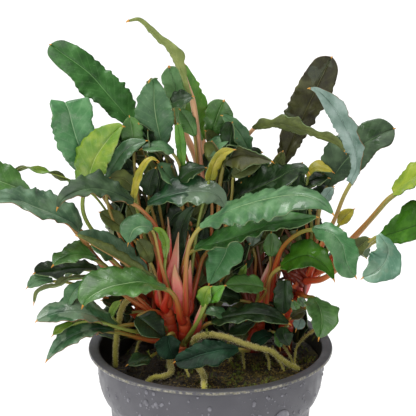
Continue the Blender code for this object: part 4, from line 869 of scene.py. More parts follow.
# Each row: finish set, stem with share and side, stalk points, rib points, left and right widths, face
SMALL_LEAVES = [
    # Upper left, around the base of the upper left leaf
    (GREEN, ("back_left", 0.9, 200), [(142, 230, 10), (136, 180, 10)],
     [(134, 152, 10), (133, 135, 11), (130, 117, 12)], [3, 9, 12, 10, 3], [3, 9, 11, 10, 3], AHEAD),
    (PALE, ("back_left", 0.9, 230), [(122, 240, 9), (108, 205, 8)],
     [(107, 180, 9), (117, 161, 8), (129, 148, 8), (147, 141, 8)], [2, 5, 7, 7, 1], [2, 7, 9, 7, 1], AHEAD),
    (PALE, ("back", 0.9, 240), [(190, 220, 12), (182, 172, 11)],
     [(174, 152, 10), (160, 147, 9), (142, 149, 8)], [2, 6, 7, 6, 2], [2, 4, 5, 4, 2], UPWARD),
    (OLIVE_SIDE, ("back_left", 0.9, 260), [(142, 240, 8), (138, 205, 7)],
     [(136, 190, 7), (124, 179, 6), (110, 178, 5)], [2, 7, 9, 8, 2], [2, 7, 8, 7, 2], AHEAD),
    (DARK, ("left", 0.9, 80), [(160, 240, 8)], [(148, 195, 6), (151, 181, 5), (156, 168, 5)],
     [3, 8, 9, 6, 1], [3, 7, 8, 6, 1], AHEAD),
    (DARK, ("left", 0.9, 60), [(165, 240, 9)], [(158, 198, 8), (160, 182, 8), (162, 167, 8)],
     [3, 8, 9, 6, 1], [3, 8, 9, 6, 1], AHEAD),
    (PALE, ("back", 0.8, 220), [(185, 225, 10)], [(178, 186, 9), (167, 175, 8), (158, 163, 8)],
     [2, 6, 7, 5, 1], [2, 7, 9, 7, 1], UPWARD),
    # Under the shield leaf
    (DARK, ("back", 0.9, 230), [(196, 190, 17), (178, 135, 15)],
     [(172, 104, 13), (182, 100, 12), (193, 97, 11.5)], [5, 9, 9, 6, 1], [5, 7, 7, 6, 1], AHEAD),
    (GREEN, ("back", 0.95, 240), [(200, 200, 15), (197, 160, 14)],
     [(195, 136, 14), (189, 122, 14), (180, 110, 14)], [2, 8, 10, 8, 3], [2, 5, 7, 6, 3], AHEAD),
    (BRIGHT, ("left", 0.98, 40), [(178, 235, 10)],
     [(182, 190, 12), (182, 165, 12), (181, 145, 12), (178, 124, 12)], [1.5, 2.5, 4, 5, 5, 3.5],
     [1.5, 2.5, 4, 5, 5, 3.5], AHEAD),
    (PALE, ("back", 0.9, 30), [(222, 220, 20), (240, 178, 17)],
     [(250, 153, 15), (240, 135, 15), (229, 121, 16), (222, 116, 16)], [2, 8, 10, 7, 2], [2, 8, 9, 6, 2],
     AHEAD),
    (PALE, ("back", 0.95, 280), [(212, 210, 13)], [(210, 156, 14), (218, 145, 14), (230, 139, 14)],
     [2, 6, 7, 6, 1], [2, 6, 8, 6, 1], UPWARD),
    (GOLDEN, ("middle", 0.98, 60), [(198, 225, 4)],
     [(210, 180, 3), (214, 165, 2), (222, 154, 1), (234, 150, 0)], [5, 6, 5, 5, 1], [5, 6, 6, 5, 1],
     (0.5, 0.2, 0.9)),
    (OLIVE_SIDE, ("back", 0.9, 310), [(225, 230, 11), (232, 196, 10)],
     [(232, 176, 10), (247, 168, 10), (262, 160, 9)], [2, 8, 9, 5, 2], [2, 7, 8, 7, 3], AHEAD),
    (DARK, ("middle", 0.98, 100), [(186, 240, 8), (182, 200, 7)],
     [(180, 180, 6), (192, 171, 6), (206, 168, 5)], [3, 7, 7, 4, 1], [3, 8, 9, 7, 1], UPWARD),
    # Around the left stem
    (GOLDEN, ("left", 0.95, 160), [(146, 240, 0)],
     [(134, 198, -1), (138, 180, -2), (145, 165, -3), (152, 159, -3), (158, 161, -3)], [3, 3.8, 3.8, 3, 1],
     [3, 3.8, 3.8, 3, 1], (-0.4, 0.2, 1)),
    (PALE, ("left", 0.95, 300), [(160, 258, -6), (156, 238, -7)],
     [(153, 228, -8), (143, 226, -9), (134, 230, -10), (129, 243, -11)], [2, 8, 8, 6, 1], [2, 9, 13, 12, 1],
     (0, 0.5, 0.8)),
    (YOUNG, ("left", 0.98, 320), [(165, 272, -4)],
     [(166, 258, -4), (166, 242, -5), (161, 231, -6), (153, 228, -7)], [2, 4, 5, 5, 1], [1, 3, 4, 3, 1],
     (0.2, 0.3, 1)),
    (OLIVE_SIDE, ("left", 0.9, 240), [(156, 275, -3)], [(151, 262, -3), (146, 250, -4), (138, 239, -5)],
     [2, 6, 8, 7, 2], [2, 6, 8, 7, 2], AHEAD),
    (DARK, ("middle", 0.9, 120), [(180, 290, 6)],
     [(179, 268, 6), (178, 242, 6), (185, 218, 6), (194, 206, 6)], [2, 6, 8, 7, 2], [2, 7, 8, 6, 2], AHEAD),
    (DARK, ("left", 0.9, 100), [(165, 250, 9)], [(168, 226, 9), (176, 214, 9), (190, 209, 8)],
     [2, 7, 9, 7, 2], [2, 7, 9, 7, 2], AHEAD),
    (OLIVE_SIDE, ("back_left", 0.9, 250), [(140, 250, 10)], [(128, 232, 8), (116, 222, 8), (100, 212, 8)],
     [2, 7, 9, 8, 2], MIDDLING, AHEAD),
    (OLIVE_SIDE, ("back_left", 0.9, 280), [(146, 240, 10)], [(140, 228, 9), (134, 216, 9), (128, 204, 8)],
     SLIM, SLIM, AHEAD),
    (PALE, ("back_left", 0.7, 250), [(134, 285, 5)], [(112, 258, 4), (101, 250, 3), (91, 245, 2)],
     [2, 6, 7, 6, 2], [2, 6, 7, 6, 2], UPWARD),
    # Far left, low
    (PALE, ("back_left", 0.4, 215), [(110, 300, 6), (75, 284, 3)],
     [(53, 280, 1), (40, 280, 0), (28, 287, -1)], [2, 5, 6, 5, 2], [2, 3, 6, 5, 2], UPWARD),
    (OLIVE_SIDE, ("left", 0.4, 190), [(140, 300, 0), (112, 276, -3)],
     [(92, 275, -4), (80, 277, -5), (67, 279, -6), (58, 285, -8), (47, 287, -9), (38, 292, -10),
      (35, 302, -11)], [2, 2.5, 3, 2.5, 1], [2, 2.5, 3, 2.5, 1], (0, 1, 0.3)),
    (PALE, ("left", 0.45, 195), [(140, 305, -1), (108, 286, -5)],
     [(86, 281, -6), (75, 291, -9), (67, 307, -12)], [2, 6, 6, 2], [2, 7, 8, 2], (0, 0.5, 0.8)),
    (YOUNG, ("left", 0.1, 200), [(130, 330, -12), (95, 320, -16)],
     [(74, 322, -17), (63, 327, -18), (54, 334, -19)], [1.5, 3, 4, 1], [1.5, 3, 4, 1], UPWARD),
    (YOUNG, ("left", 0.3, 215), [(131, 331, -6), (116, 322, -6)],
     [(112, 316, -6), (114, 309, -6), (121, 300, -6)], [2, 4, 4, 1], [2, 3, 3, 1], AHEAD),
    (DARK, ("left", 0.4, 160), [(148, 312, 3)], [(132, 312, 4), (118, 306, 4), (102, 300, 4)],
     SLIM, SLIM, UPWARD),
    (DARK, ("back_left", 0.2, 200), [(140, 340, 8)], [(128, 336, 6), (112, 332, 5), (98, 334, 4)],
     SLIM, SLIM, UPWARD),
    (DARK, ("main", 0.6, 220), [(158, 352, -10)], [(150, 356, -14), (140, 360, -17), (128, 364, -19)],
     [2, 6, 7, 5, 1], [2, 6, 7, 5, 1], UPWARD),
    # In front of the middle stems
    (YOUNG, ("main", 0.9, 300), [(199, 318, -8)],
     [(203, 306, -8), (205, 298, -9), (207, 291, -10), (211, 286, -10.5)], [1.5, 6, 8, 6, 1],
     [1.5, 5, 7, 6, 1], (-0.3, 0.2, 1)),
    (BRIGHT, ("main", 0.9, 310), [(201, 316, -9)], [(207, 301, -9), (213, 294, -10), (225, 285, -11)],
     [2, 6, 8, 4, 1], [2, 7, 9, 5, 1], AHEAD),
    (PALE, ("main", 0.8, 40), [(200, 325, 0)], [(206, 312, -1), (215, 311, -2), (227, 317, -3)],
     [2, 4, 5, 2], [2, 5, 6, 2], UPWARD),
    # Between the middle and the right stem
    (GREEN, ("right", 0.6, 215), [(266, 292, 2)],
     [(263, 287, 0), (250, 284, -1), (237, 284, -2), (225, 285, -3)], [3, 9, 10, 8, 1], [3, 9, 9, 8, 1],
     (0, 0.5, 0.85)),
    (YOUNG, ("right", 0.6, 240), [(258, 292, 5)], [(243, 284, 4), (243, 274, 4), (246, 264, 4)],
     [2, 4, 4, 1], [2, 4, 3, 1], AHEAD),
    (GREEN, ("right", 0.9, 250), [(270, 270, 9)], [(270, 256, 8), (272, 244, 8), (271, 232, 8)],
     [2, 8, 9, 7, 2], [2, 8, 9, 7, 2], AHEAD),
    (OLIVE_SIDE, ("right", 0.95, 20), [(280, 268, 11)], [(284, 258, 11), (291, 244, 11), (297, 230, 11)],
     [2, 9, 13, 10, 3], [2, 8, 11, 9, 3], AHEAD),
    (DARK, ("right", 0.7, 180), [(252, 282, 12)], [(246, 268, 12), (240, 252, 13), (236, 236, 14)],
     MIDDLING, MIDDLING, AHEAD),
    (WET, ("right", 0.9, 190), [(256, 262, 12)], [(252, 246, 12), (254, 230, 12), (258, 214, 12)],
     MIDDLING, MIDDLING, AHEAD),
    (DARK, ("right", 0.4, 200), [(258, 306, 10)], [(240, 300, 10), (228, 296, 10), (214, 294, 10)],
     MIDDLING, MIDDLING, UPWARD),
    (DARK, ("right", 0.3, 240), [(262, 318, 5)], [(254, 322, 2), (240, 330, 0), (228, 334, -2)],
     [2, 5, 6, 5, 1], [2, 5, 6, 5, 1], UPWARD),
    # Low right, inside the rim
    (DEEP, ("right", 0.2, 280), [(266, 332, 2)], [(272, 334, 0), (262, 337, -2), (251, 344, -4)],
     [2, 6, 8, 3], [2, 6, 7, 3], (0, 0.5, 0.9)),
    (GREEN, ("right", 0.2, 300), [(272, 332, 1)], [(276, 332, 0), (279, 339, -2), (280, 348, -4)],
     [2, 4, 5, 1], [2, 4, 5, 1], AHEAD),
    (DARK, ("far_right", 0.2, 260), [(288, 326, 0)], [(284, 327, -3), (283, 335, -5), (289, 346, -7)],
     [3, 9, 10, 7, 1], [3, 7, 7, 4, 1], AHEAD),
    (GREY, ("far_right", 0.3, 270), [(296, 318, 0)], [(300, 318, -3), (299, 323, -4), (296, 329, -5)],
     [3, 6, 6, 2], [3, 6, 6, 2], AHEAD),
    (BRONZE, ("far_right", 0.4, 270), [(298, 306, 0)], [(304, 311, -4), (297, 314, -6), (290, 318, -8)],
     [2, 5, 5, 2], [2, 5, 5, 2], AHEAD),
    (GREEN, ("far_right", 0.4, 250), [(294, 300, 0)], [(298, 311, -4), (295, 306, -5), (292, 300, -6)],
     [2, 4, 4, 1], [2, 4, 4, 1], AHEAD),
    (GREEN, ("far_right", 0.5, 290), [(306, 308, -4)], [(305, 304, -9), (300, 300, -11), (298, 296, -12)],
     [2, 4, 4, 1], [2, 4, 4, 1], AHEAD),
    # Right
    (GOLDEN, ("far_right", 0.9, 100), [(312, 235, 12), (308, 200, 11)],
     [(306, 176, 10), (316, 168, 10), (332, 172, 9)], [2, 5, 6, 4, 1], [2, 4, 4, 3, 1], UPWARD),
    (DARK, ("far_right", 0.9, 110), [(308, 240, 13), (304, 210, 12)],
     [(303, 186, 11), (314, 180, 11), (328, 178, 10)], [2, 5, 6, 5, 1], [2, 6, 8, 7, 1], UPWARD),
    (GREY, ("far_right", 0.9, 80), [(316, 240, 8), (318, 220, 7)],
     [(320, 206, 6), (326, 196, 6), (333, 187, 6)], [2, 5, 6, 5, 1], [2, 5, 6, 5, 1], AHEAD),
    (GOLDEN, ("far_right", 0.95, 330), [(332, 240, 2)], [(338, 224, 1), (345, 216, 0), (353, 209, 0)],
     [2, 6, 7, 5, 1], [2, 5, 6, 5, 1], AHEAD),
    (OLIVE_SIDE, ("far_right", 0.9, 340), [(336, 262, -2)],
     [(348, 258, -8), (356, 248, -10), (368, 238, -12)], [2, 6, 8, 7, 3], [2, 6, 8, 7, 3], AHEAD),
    (DARK, ("far_right", 0.7, 60), [(310, 268, 12)], [(318, 250, 13), (330, 238, 14), (342, 230, 14)],
     MIDDLING, MIDDLING, AHEAD),
    (DARK, ("back", 0.8, 330), [(225, 250, 16)], [(236, 222, 17), (248, 206, 17), (262, 194, 17)],
     BROAD, BROAD, AHEAD),
    (DARK, ("back", 0.9, 200), [(200, 230, 18)], [(196, 206, 18), (200, 188, 18), (206, 170, 18)],
     BROAD, BROAD, AHEAD),
    (DARK, ("back", 0.6, 200), [(196, 268, 17)], [(182, 250, 18), (170, 236, 19), (156, 226, 20)],
     BROAD, BROAD, AHEAD),
    (DARK, ("back", 0.5, 300), [(218, 285, 13)], [(228, 272, 12), (240, 262, 12), (254, 256, 12)],
     BROAD, BROAD, AHEAD),
    (DARK, ("back_left", 0.6, 300), [(152, 280, 12)], [(146, 264, 13), (138, 250, 14), (128, 240, 15)],
     BROAD, BROAD, AHEAD),
    (DARK, ("back_left", 0.3, 270), [(144, 315, 10)], [(136, 304, 10), (124, 296, 10), (110, 292, 10)],
     MIDDLING, MIDDLING, AHEAD),
    (DARK, ("back", 0.3, 230), [(204, 305, 14)], [(198, 290, 14), (190, 276, 14), (180, 264, 14)],
     MIDDLING, MIDDLING, AHEAD),
    (DARK, ("far_right", 0.3, 200), [(284, 312, 12)], [(278, 302, 13), (266, 296, 13), (254, 294, 13)],
     MIDDLING, MIDDLING, UPWARD),
    (DARK, ("far_right", 0.4, 120), [(300, 300, 14)], [(300, 286, 16), (296, 268, 17), (290, 254, 18)],
     [2, 9, 11, 9, 2], [2, 9, 11, 9, 2], AHEAD),
]

# %% [markdown]
# The heart of the plant is a thicket of darker leaves in the shade of the outer ones. The photo shows only
# bits of each, so these are laid by chance over the area that looks dense, and left out where white shows
# through.

# %% Leaves in the thicket
rng = random.Random(5)
# Left and right column of the dense area at each row of the photo
THICKET = {142: (120, 240), 156: (108, 262), 170: (108, 282), 184: (112, 330), 198: (112, 325),
           212: (112, 318), 226: (100, 322), 240: (108, 318), 254: (128, 318), 268: (136, 300),
           282: (138, 290), 296: (112, 286), 310: (112, 300), 322: (120, 310)}
# Column, row and radius of places where white shows through
OPENINGS = [(150, 192, 3), (183, 148, 3), (184, 166, 2), (149, 254, 3), (104, 262, 6), (135, 309, 3),
            (193, 298, 3), (257, 271, 4), (288, 268, 4), (230, 297, 3), (92, 207, 8)]
# A thicket leaf grows from the first of these stems whose column it stays left of
THICKET_STEMS = {150: "back_left", 238: "back", 282: "right", 420: "far_right"}
THICKET_PITCH = 12
THICKET_SETS = [FAR_BACK, FAR_BACK, FAR_OLIVE, FAR_BACK, FAR_OLIVE]
# Column, row and radius of the place where the pink stalks of the top leaves stand free
FREE_STALKS = (196, 149, 12)


def thicket_leaf(column, row):
    """The rib in photo pixels of a leaf around this place, pointing up and away from the plant's axis."""
    turn = math.radians(90 - 0.28 * (column - AXIS_COLUMN) + rng.uniform(-45, 45))
    reach = rng.uniform(13, 19)
    back = rng.uniform(12, 20)
    return [(column + reach * part * math.cos(turn), row - reach * part * math.sin(turn),
             back - 2 * abs(part)) for part in (-1, 0, 1)]


thicket = []
for row, (first, last) in THICKET.items():
    for column in range(first, last + 1, THICKET_PITCH):
        rib = thicket_leaf(column + rng.uniform(-5, 5), row + rng.uniform(-5, 5))
        half = rng.uniform(6.5, 9.5)
        skins = rng.choice(THICKET_SETS)
        face = (rng.uniform(-0.6, 0.6), rng.uniform(0.1, 0.9), 1)
        near = min(math.hypot(point[0] - at_column, point[1] - at_row) - radius
                   for point in rib for at_column, at_row, radius in OPENINGS)
        if near < half:
            continue
        stem = next(name for limit, name in THICKET_STEMS.items() if column < limit)
        neck = rib[0]
        stalk = [(neck[0] * 0.7 + 0.3 * AXIS_COLUMN, neck[1] + 14, neck[2] + 2)] if neck[1] < 290 else []
        widths = [2, half * 0.9, half, half * 0.75, 2]
        root = (stem, rng.uniform(0.5, 0.98), rng.uniform(0, 360))
        thicket.append((skins, root, stalk, rib, widths, widths, face))
thicket = [leaf for leaf in thicket
           if min(math.hypot(x - FREE_STALKS[0], y - FREE_STALKS[1])
                  for x, y, _ in leaf[3]) > FREE_STALKS[2]]
print(len(thicket), "leaves in the thicket")

# %% Make the small leaves
SMALL_STALK_RADIUS = 0.62 * MM
SMALL_COLUMNS = 12
THICKET_COLUMNS = 10
THICKET_ROW_LENGTH = 0.8 * MM
groups = {}
for number, (skins, root, stalk, rib, left, right, face) in enumerate(SMALL_LEAVES + thicket):
    kind, columns, row_length = "small_", SMALL_COLUMNS, ROW_LENGTH
    if number >= len(SMALL_LEAVES):
        kind, columns, row_length = "thicket_", THICKET_COLUMNS, THICKET_ROW_LENGTH
    made = make_leaf(f"small_{number}", skins, root, rib, left, right, face, stalk, wave=0.35,
                     stalk_radius=SMALL_STALK_RADIUS, phase=0.61 * number, columns=columns,
                     row_length=row_length)
    groups.setdefault((kind, SLOTS[skins]), []).append(made)
for (kind, slot), pieces in groups.items():
    joined = join(pieces, kind + slot.replace("leaf", "leaves"))
    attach(joined, "root")
    print(joined.name, len(joined.data.polygons), "faces")

# %% [markdown]
# ## Stems, sheaths and roots
# The creeping stems have a ring at each old leaf scar. They are coral red where they are young and brown
# and dull near the soil. A sheath is a pointed scale that wraps a growing tip, so it is built as an open
# cone. The roots are olive and look soft, because thousands of short hairs stand on them.

# %% Finishes of the stems, sheaths and roots


def along_finish(name, roughness, stops, patch, relief):
    """A finish whose colour changes along V, with patches of the given size in mm breaking it up."""
    made, tree, surface = new_material(name, roughness)
    uv = add(tree, "SeparateXYZ", {"Vector": add(tree, "UVMap", uv_map="UVMap").outputs["UV"]})
    wander = add(tree, "Math", {0: speckle(tree, patch, 4), 1: 0.5, 2: -0.25}, operation="MULTIPLY_ADD")
    place = add(tree, "Math", {0: uv.outputs["Y"], 1: wander.outputs[0]}, operation="ADD")
    dress(tree, surface, add(tree, "ValToRGB", {"Fac": place.outputs[0]}, stops).outputs["Color"],
          speckle(tree, patch / 4, 3), relief, 0.2)
    return made


BARK = along_finish("rhizome_bark", 0.36,
                    [(0.1, "#5a2014"), (0.3, "#a8341e"), (0.5, "#d04a2a"), (0.85, "#dc6e42")], 2.4, 0.5)
# The stems at the back get a darker, duller bark than the others
BARK_BACK = along_finish("rhizome_bark_dark_behind", 0.6,
                         [(0.1, "#1d1610"), (0.6, "#33241a"), (0.8, "#5a3222"), (0.95, "#8a4a30")],
                         2.4, 0.6)
SHEATH = along_finish("sheath_translucent_pink", 0.35,
                      [(0.0, "#c4381f"), (0.25, "#d2504a"), (0.6, "#dc7c70"), (0.9, "#c99a72")], 1.3, 0.25)
SHEATH_EDGE = along_finish("sheath_dry_edge", 0.4,
                           [(0.0, "#d07060"), (0.5, "#e6b4a2"), (1.0, "#d8b48c")], 1.3, 0.2)
ROOT_SKIN = along_finish("root_velvet", 0.85,
                         [(0.0, "#9a9044"), (0.5, "#aca256"), (1.0, "#b5b044")], 0.7, 1.0)
HAIR_SKIN = along_finish("root_hair", 0.8, [(0.0, "#ddd49c"), (1.0, "#f0eac4")], 1.0, 0.2)
print("stem finishes ready")

# %% Stems with leaf scars
SCAR_PITCH = 3.3 * MM
for stem, rows in STEMS.items():
    centres = [Vector((x, y, height)) * MM + Vector((0, 0, POT_HEIGHT)) for x, y, height, _ in rows]
    length = sum((end - start).length for start, end in zip(centres, centres[1:]))
    count = max(8, round(length / (0.35 * MM)))
    points = even_points(centres, count)
    radii = []
    for step in range(count + 1):
        share = step / count
        ring = abs(math.sin(math.pi * length * share / SCAR_PITCH))
        radius = smooth_row([row[3] for row in rows], share) * MM
        radii.append(radius * (0.88 + 0.16 * min(1.0, 2.5 * ring))
                     * min(1.0, 0.35 + 5 * (1 - share)) ** 0.5)
    skin = BARK_BACK if stem.startswith("back") else BARK
    made = tube("rhizome_" + stem + "_bark", points, radii, skin, 20)
    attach(made, "root")
    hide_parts("rhizome_" + stem)
print("stems with scars every", round(SCAR_PITCH / MM, 1), "mm")

# %% Sheaths
# Each row: x, y, height over the rim's plane and radius in mm, then the way its opening looks in degrees
SHEATHS = {
    "tall": ([(-16.3, 0.6, 16.4, 2.0), (-14.8, 0.8, 25, 2.3), (-12.6, 1.4, 35, 1.4),
              (-11.6, 1.4, 44.5, 0.2)], 20),
    "short": ([(-10.6, -0.8, 13.5, 2.1), (-10.8, -2, 20, 2.6), (-12, -2.8, 26, 1.8),
               (-13.1, -3, 33.5, 0.2)], 60),
    "right": ([(18.6, 12, 12, 3.0), (20.2, 12, 20, 2.9), (21.6, 12, 27, 2.0), (22.7, 12, 32.5, 0.2)], 150),
}
SMALL_SHEATHS = [
    ([(-10.6, 1.5, 30, 1.0), (-9.4, 1.5, 36, 1.0), (-7.8, 1.5, 43.5, 0.2)], 200),
    ([(-15.0, 2.5, 34, 0.7), (-15.4, 2.5, 42, 0.8), (-15.8, 2.5, 50, 0.2)], 200),
    ([(-8.2, 0, 19, 1.1), (-7.8, 0, 26, 0.9), (-7.4, 0, 34, 0.2)], 120),
    ([(-6.4, -1.5, 5, 1.3), (-5.2, -2, 9, 1.3), (-3.4, -2.5, 17.5, 0.2)], 100),
    ([(22.5, 12.5, 16, 1.1), (23.6, 12.5, 22, 1.0), (24.2, 12.5, 29, 0.2)], 200),
    ([(31, 8.4, 15, 2.4), (34.5, 7.8, 22, 2.4), (38, 7.4, 26, 1.6), (41.5, 7.2, 28.5, 0.3)], 100),
]
SHEATH_WIDTH = 1.25


def sheath(name, rows, opening, wrap=300, sides=22, lengths=30):
    """An open cone: it wraps its axis by wrap degrees at its foot, and its free edges meet in the point."""
    centres = [Vector((x, y, height)) * MM + Vector((0, 0, POT_HEIGHT)) for x, y, height, _ in rows]
    points = even_points(centres, lengths)

    def place_of(column, row):
        share = row / lengths
        radius = SHEATH_WIDTH * max(smooth_row([each[3] for each in rows], share), 0.12) * MM
        wrapped = wrap * (1 - 0.45 * share)
        turn = math.radians(opening + (360 - wrapped) / 2 + wrapped * column / sides)
        ridge = 1 + 0.10 * math.cos(4 * turn + 6 * share)
        rise = -2.4 * MM * (1 - share) * abs(2 * column / sides - 1) ** 3
        return points[row] + Vector((math.cos(turn) * radius * ridge,
                                     math.sin(turn) * radius * ridge, rise))

    made = lay_sheet(name, sides, lengths, place_of)
    made.data.materials.append(SHEATH)
    made.data.materials.append(SHEATH_EDGE)
    for number, face in enumerate(made.data.polygons):
        if number % sides in (0, 1, sides - 2, sides - 1):
            face.material_index = 1
    shell = made.modifiers.new("thickness", "SOLIDIFY")
    shell.thickness = 0.25 * MM
    bpy.ops.object.modifier_apply(modifier=shell.name)
    bpy.ops.object.mode_set(mode="EDIT")
    bpy.ops.mesh.select_all(action="SELECT")
    bpy.ops.mesh.normals_make_consistent(inside=False)
    bpy.ops.object.mode_set(mode="OBJECT")
    bpy.ops.object.shade_smooth()
    return made


for name, (rows, opening) in SHEATHS.items():
    made = sheath("sheath_" + name + "_scale", rows, opening)
    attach(made, "root")
    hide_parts("sheath_" + name)
made = join([sheath(f"small_sheath_{number}", rows, opening, 250)
             for number, (rows, opening) in enumerate(SMALL_SHEATHS)], "small_sheaths")
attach(made, "root")
print(len(SHEATHS), "large and", len(SMALL_SHEATHS), "small sheaths")

# %% [markdown]
# Hairs, soil grains and moss are each one small shape repeated hundreds of times. The shape is modelled
# once with an operator. Its copies are then written into one mesh, turned and scaled by chance, which keeps
# the scene light.

# %% Scatter helper


def template(add_shape, **settings):
    """The points and faces of a shape that an operator makes."""
    bpy.ops.object.select_all(action="DESELECT")
    add_shape(**settings)
    shape = bpy.context.object
    points = [vertex.co + shape.location for vertex in shape.data.vertices]
    faces = [tuple(face.vertices) for face in shape.data.polygons]
    bpy.data.objects.remove(shape)
    return points, faces


def scatter(name, shape, placements, skin):
    """One mesh of many copies. Each placement is a point, where Z looks, and a scale for each axis."""
    points, faces = shape
    all_points, all_faces = [], []
    for place, direction, scales in placements:
        turn = direction.to_track_quat("Z", "Y")
        first = len(all_points)
        all_points += [place + turn @ Vector((p.x * scales[0], p.y * scales[1], p.z * scales[2]))
                       for p in points]
        all_faces += [tuple(first + corner for corner in face) for face in faces]
    mesh = bpy.data.meshes.new(name)
    mesh.from_pydata(all_points, [], all_faces)
    mesh.materials.append(skin)
    made = bpy.data.objects.new(name, mesh)
    scene.collection.objects.link(made)
    return made


def any_direction(rng, tilt=1.0):
    """A direction that leans from straight up by at most this share of a quarter turn."""
    lean = math.pi / 2 * tilt * rng.random() ** 0.5
    turn = math.tau * rng.random()
    return Vector((math.sin(lean) * math.cos(turn), math.sin(lean) * math.sin(turn), math.cos(lean)))


HAIR_SHAPE = template(bpy.ops.mesh.primitive_cone_add, vertices=3, radius1=1, radius2=0.15, depth=1,
                      location=(0, 0, 0.5))
GRAIN_SHAPE = template(bpy.ops.mesh.primitive_ico_sphere_add, subdivisions=1, radius=0.5)
print("hair has", len(HAIR_SHAPE[1]), "faces, grain has", len(GRAIN_SHAPE[1]))

# %% Roots with their hairs
# The course of each root: x, y and height over the rim's plane, in millimetres
ROOTS = {
    "long": [(-6.4, -4.4, 2.6), (-5, -6, 5.8), (-0.9, -9, 8.1), (2.4, -11, 8.6), (6.5, -13, 8.5),
             (12.5, -14, 6.5), (17.5, -14, 4.9), (22.3, -13.5, 3.4), (25.3, -13, 0.6), (29, -12, -2.5),
             (32.7, -11, -4.8)],
    "front": [(-9, -4.8, -4.4), (-5.5, -9, -4), (-3.9, -12, -4.4), (-2.4, -19, -4.8), (-2.4, -27, -5),
              (-2.2, -29.5, -8)],
    "bent": [(-14.6, -3.6, -3), (-14.9, -8, -3.8), (-14.4, -14, -4.5), (-17, -17.5, -4.9), (-21, -18, -5.2),
             (-23.5, -18.2, -7.2)],
    "left": [(-18.4, 4.4, 7), (-24, 3, 14.5), (-29, 1, 18.5), (-32.5, -2, 16), (-34, -4, 9), (-34.9, -5, 2),
             (-35, -6, -6)],
}
ROOT_RADIUS = 1.15 * MM
# Real root hairs are far thinner, and these are as thick as they need to be to show
HAIR_RADIUS = 0.08 * MM
HAIRS_PER_MM = 42
rng = random.Random(3)


def hairy_root(name, rows, radius, end_share=0.75):
    """A root that thins towards its end, and the places where its hairs stand."""
    centres = [Vector((x, y, height)) * MM + Vector((0, 0, POT_HEIGHT)) for x, y, height in rows]
    length = sum((end - start).length for start, end in zip(centres, centres[1:]))
    count = round(length / (0.5 * MM))
    points = even_points(centres, count)
    radii = [radius * (1 - (1 - end_share) * step / count) * (1 + 0.05 * math.sin(0.9 * step))
             for step in range(count + 1)]
    rod = tube(name, points, radii, ROOT_SKIN, 12)
    ahead = headings(points)
    placements = []
    for _ in range(round(length / MM * HAIRS_PER_MM)):
        step = rng.randrange(1, count)
        outward = ahead[step].orthogonal().normalized()
        turn = math.tau * rng.random()
        outward = outward * math.cos(turn) + ahead[step].cross(outward) * math.sin(turn)
        lean = (outward + ahead[step] * rng.uniform(-0.5, 0.5)).normalized()
        tall = rng.uniform(0.25, 0.7) * MM
        placements.append((points[step] + outward * radii[step] * 0.9, lean,
                           (HAIR_RADIUS, HAIR_RADIUS, tall)))
    return rod, placements


for name, rows in ROOTS.items():
    rod, placements = hairy_root("root_" + name + "_skin", rows, ROOT_RADIUS)
    hairs = scatter("root_" + name + "_hairs", HAIR_SHAPE, placements, HAIR_SKIN)
    made = join([rod, hairs], "root_" + name + "_velvet")
    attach(made, "root")
    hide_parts("root_" + name)
print(len(ROOTS), "large roots with", HAIRS_PER_MM, "hairs to the millimetre")

# %% Small roots
# The course of each: the photo's column and row, and how far it lies behind the pot's axis in millimetres
SMALL_ROOTS = [
    [(243, 350, -2), (243, 357, -4), (244, 364, -6), (244, 374, -8)],
    [(266, 346, -2), (267, 354, -4), (269, 362, -6), (269, 372, -8)],
    [(272, 346, 0), (275, 354, -3), (280, 362, -6), (285, 372, -8)],
    [(280, 340, 2), (285, 348, 0), (290, 356, -2), (294, 366, -4)],
    [(314, 330, 4), (304, 338, 2), (297, 347, 0), (295, 357, -2), (295, 366, -4)],
    [(176, 350, -4), (180, 360, -8), (186, 368, -12), (190, 380, -16)],
    [(150, 330, 4), (140, 340, 2), (136, 352, 0), (134, 366, -2)],
    [(228, 342, 4), (232, 350, 2), (230, 360, 0), (226, 370, -4)],
]
pieces = []
placements = []
for number, route in enumerate(SMALL_ROOTS):
    points = [seen(*each) for each in route]
    rows = [(point.x / MM, point.y / MM, (point.z - POT_HEIGHT) / MM) for point in points]
    rod, more = hairy_root(f"small_root_{number}", rows, 0.55 * MM, 0.6)
    pieces.append(rod)
    placements += more[::3]
pieces.append(scatter("small_root_hairs", HAIR_SHAPE, placements, HAIR_SKIN))
made = join(pieces, "small_roots")
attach(made, "root")
print(len(SMALL_ROOTS), "small roots")

# %% [markdown]
# ## The pot
# The pot is thin grey plastic, pressed in one go. A flat flange stiffens its rim and a wider collar its
# upper part. The photo cuts it off below the collar, so the rest is the plain taper that such pots have.
# Hard water has left a pale crust along the flange's outer edge, and the wet wall carries droplets. The
# outline could be spun round the axis. Here it is laid as a sheet whose two sides are merged, so that the
# soil can be made by the same helper and still have an uneven top.

# %% Pot finish
plastic, tree, surface = new_material("pot_satin_grey_plastic", 0.42)
greys = add(tree, "ValToRGB", {"Fac": speckle(tree, 14, 3)},
            [(0.3, "#515056"), (0.5, "#56555b"), (0.72, "#5e5d63")]).outputs["Color"]
apart = add(tree, "SeparateXYZ", {"Vector": add(tree, "TexCoord").outputs["Object"]})
flat_place = add(tree, "CombineXYZ", {"X": apart.outputs["X"], "Y": apart.outputs["Y"]})
radius = add(tree, "VectorMath", {0: flat_place.outputs[0]}, operation="LENGTH").outputs["Value"]
high = add(tree, "MapRange", {"Value": apart.outputs["Z"], "From Min": POT_HEIGHT - 1.9 * MM,
                              "From Max": POT_HEIGHT - 1.2 * MM}).outputs["Result"]
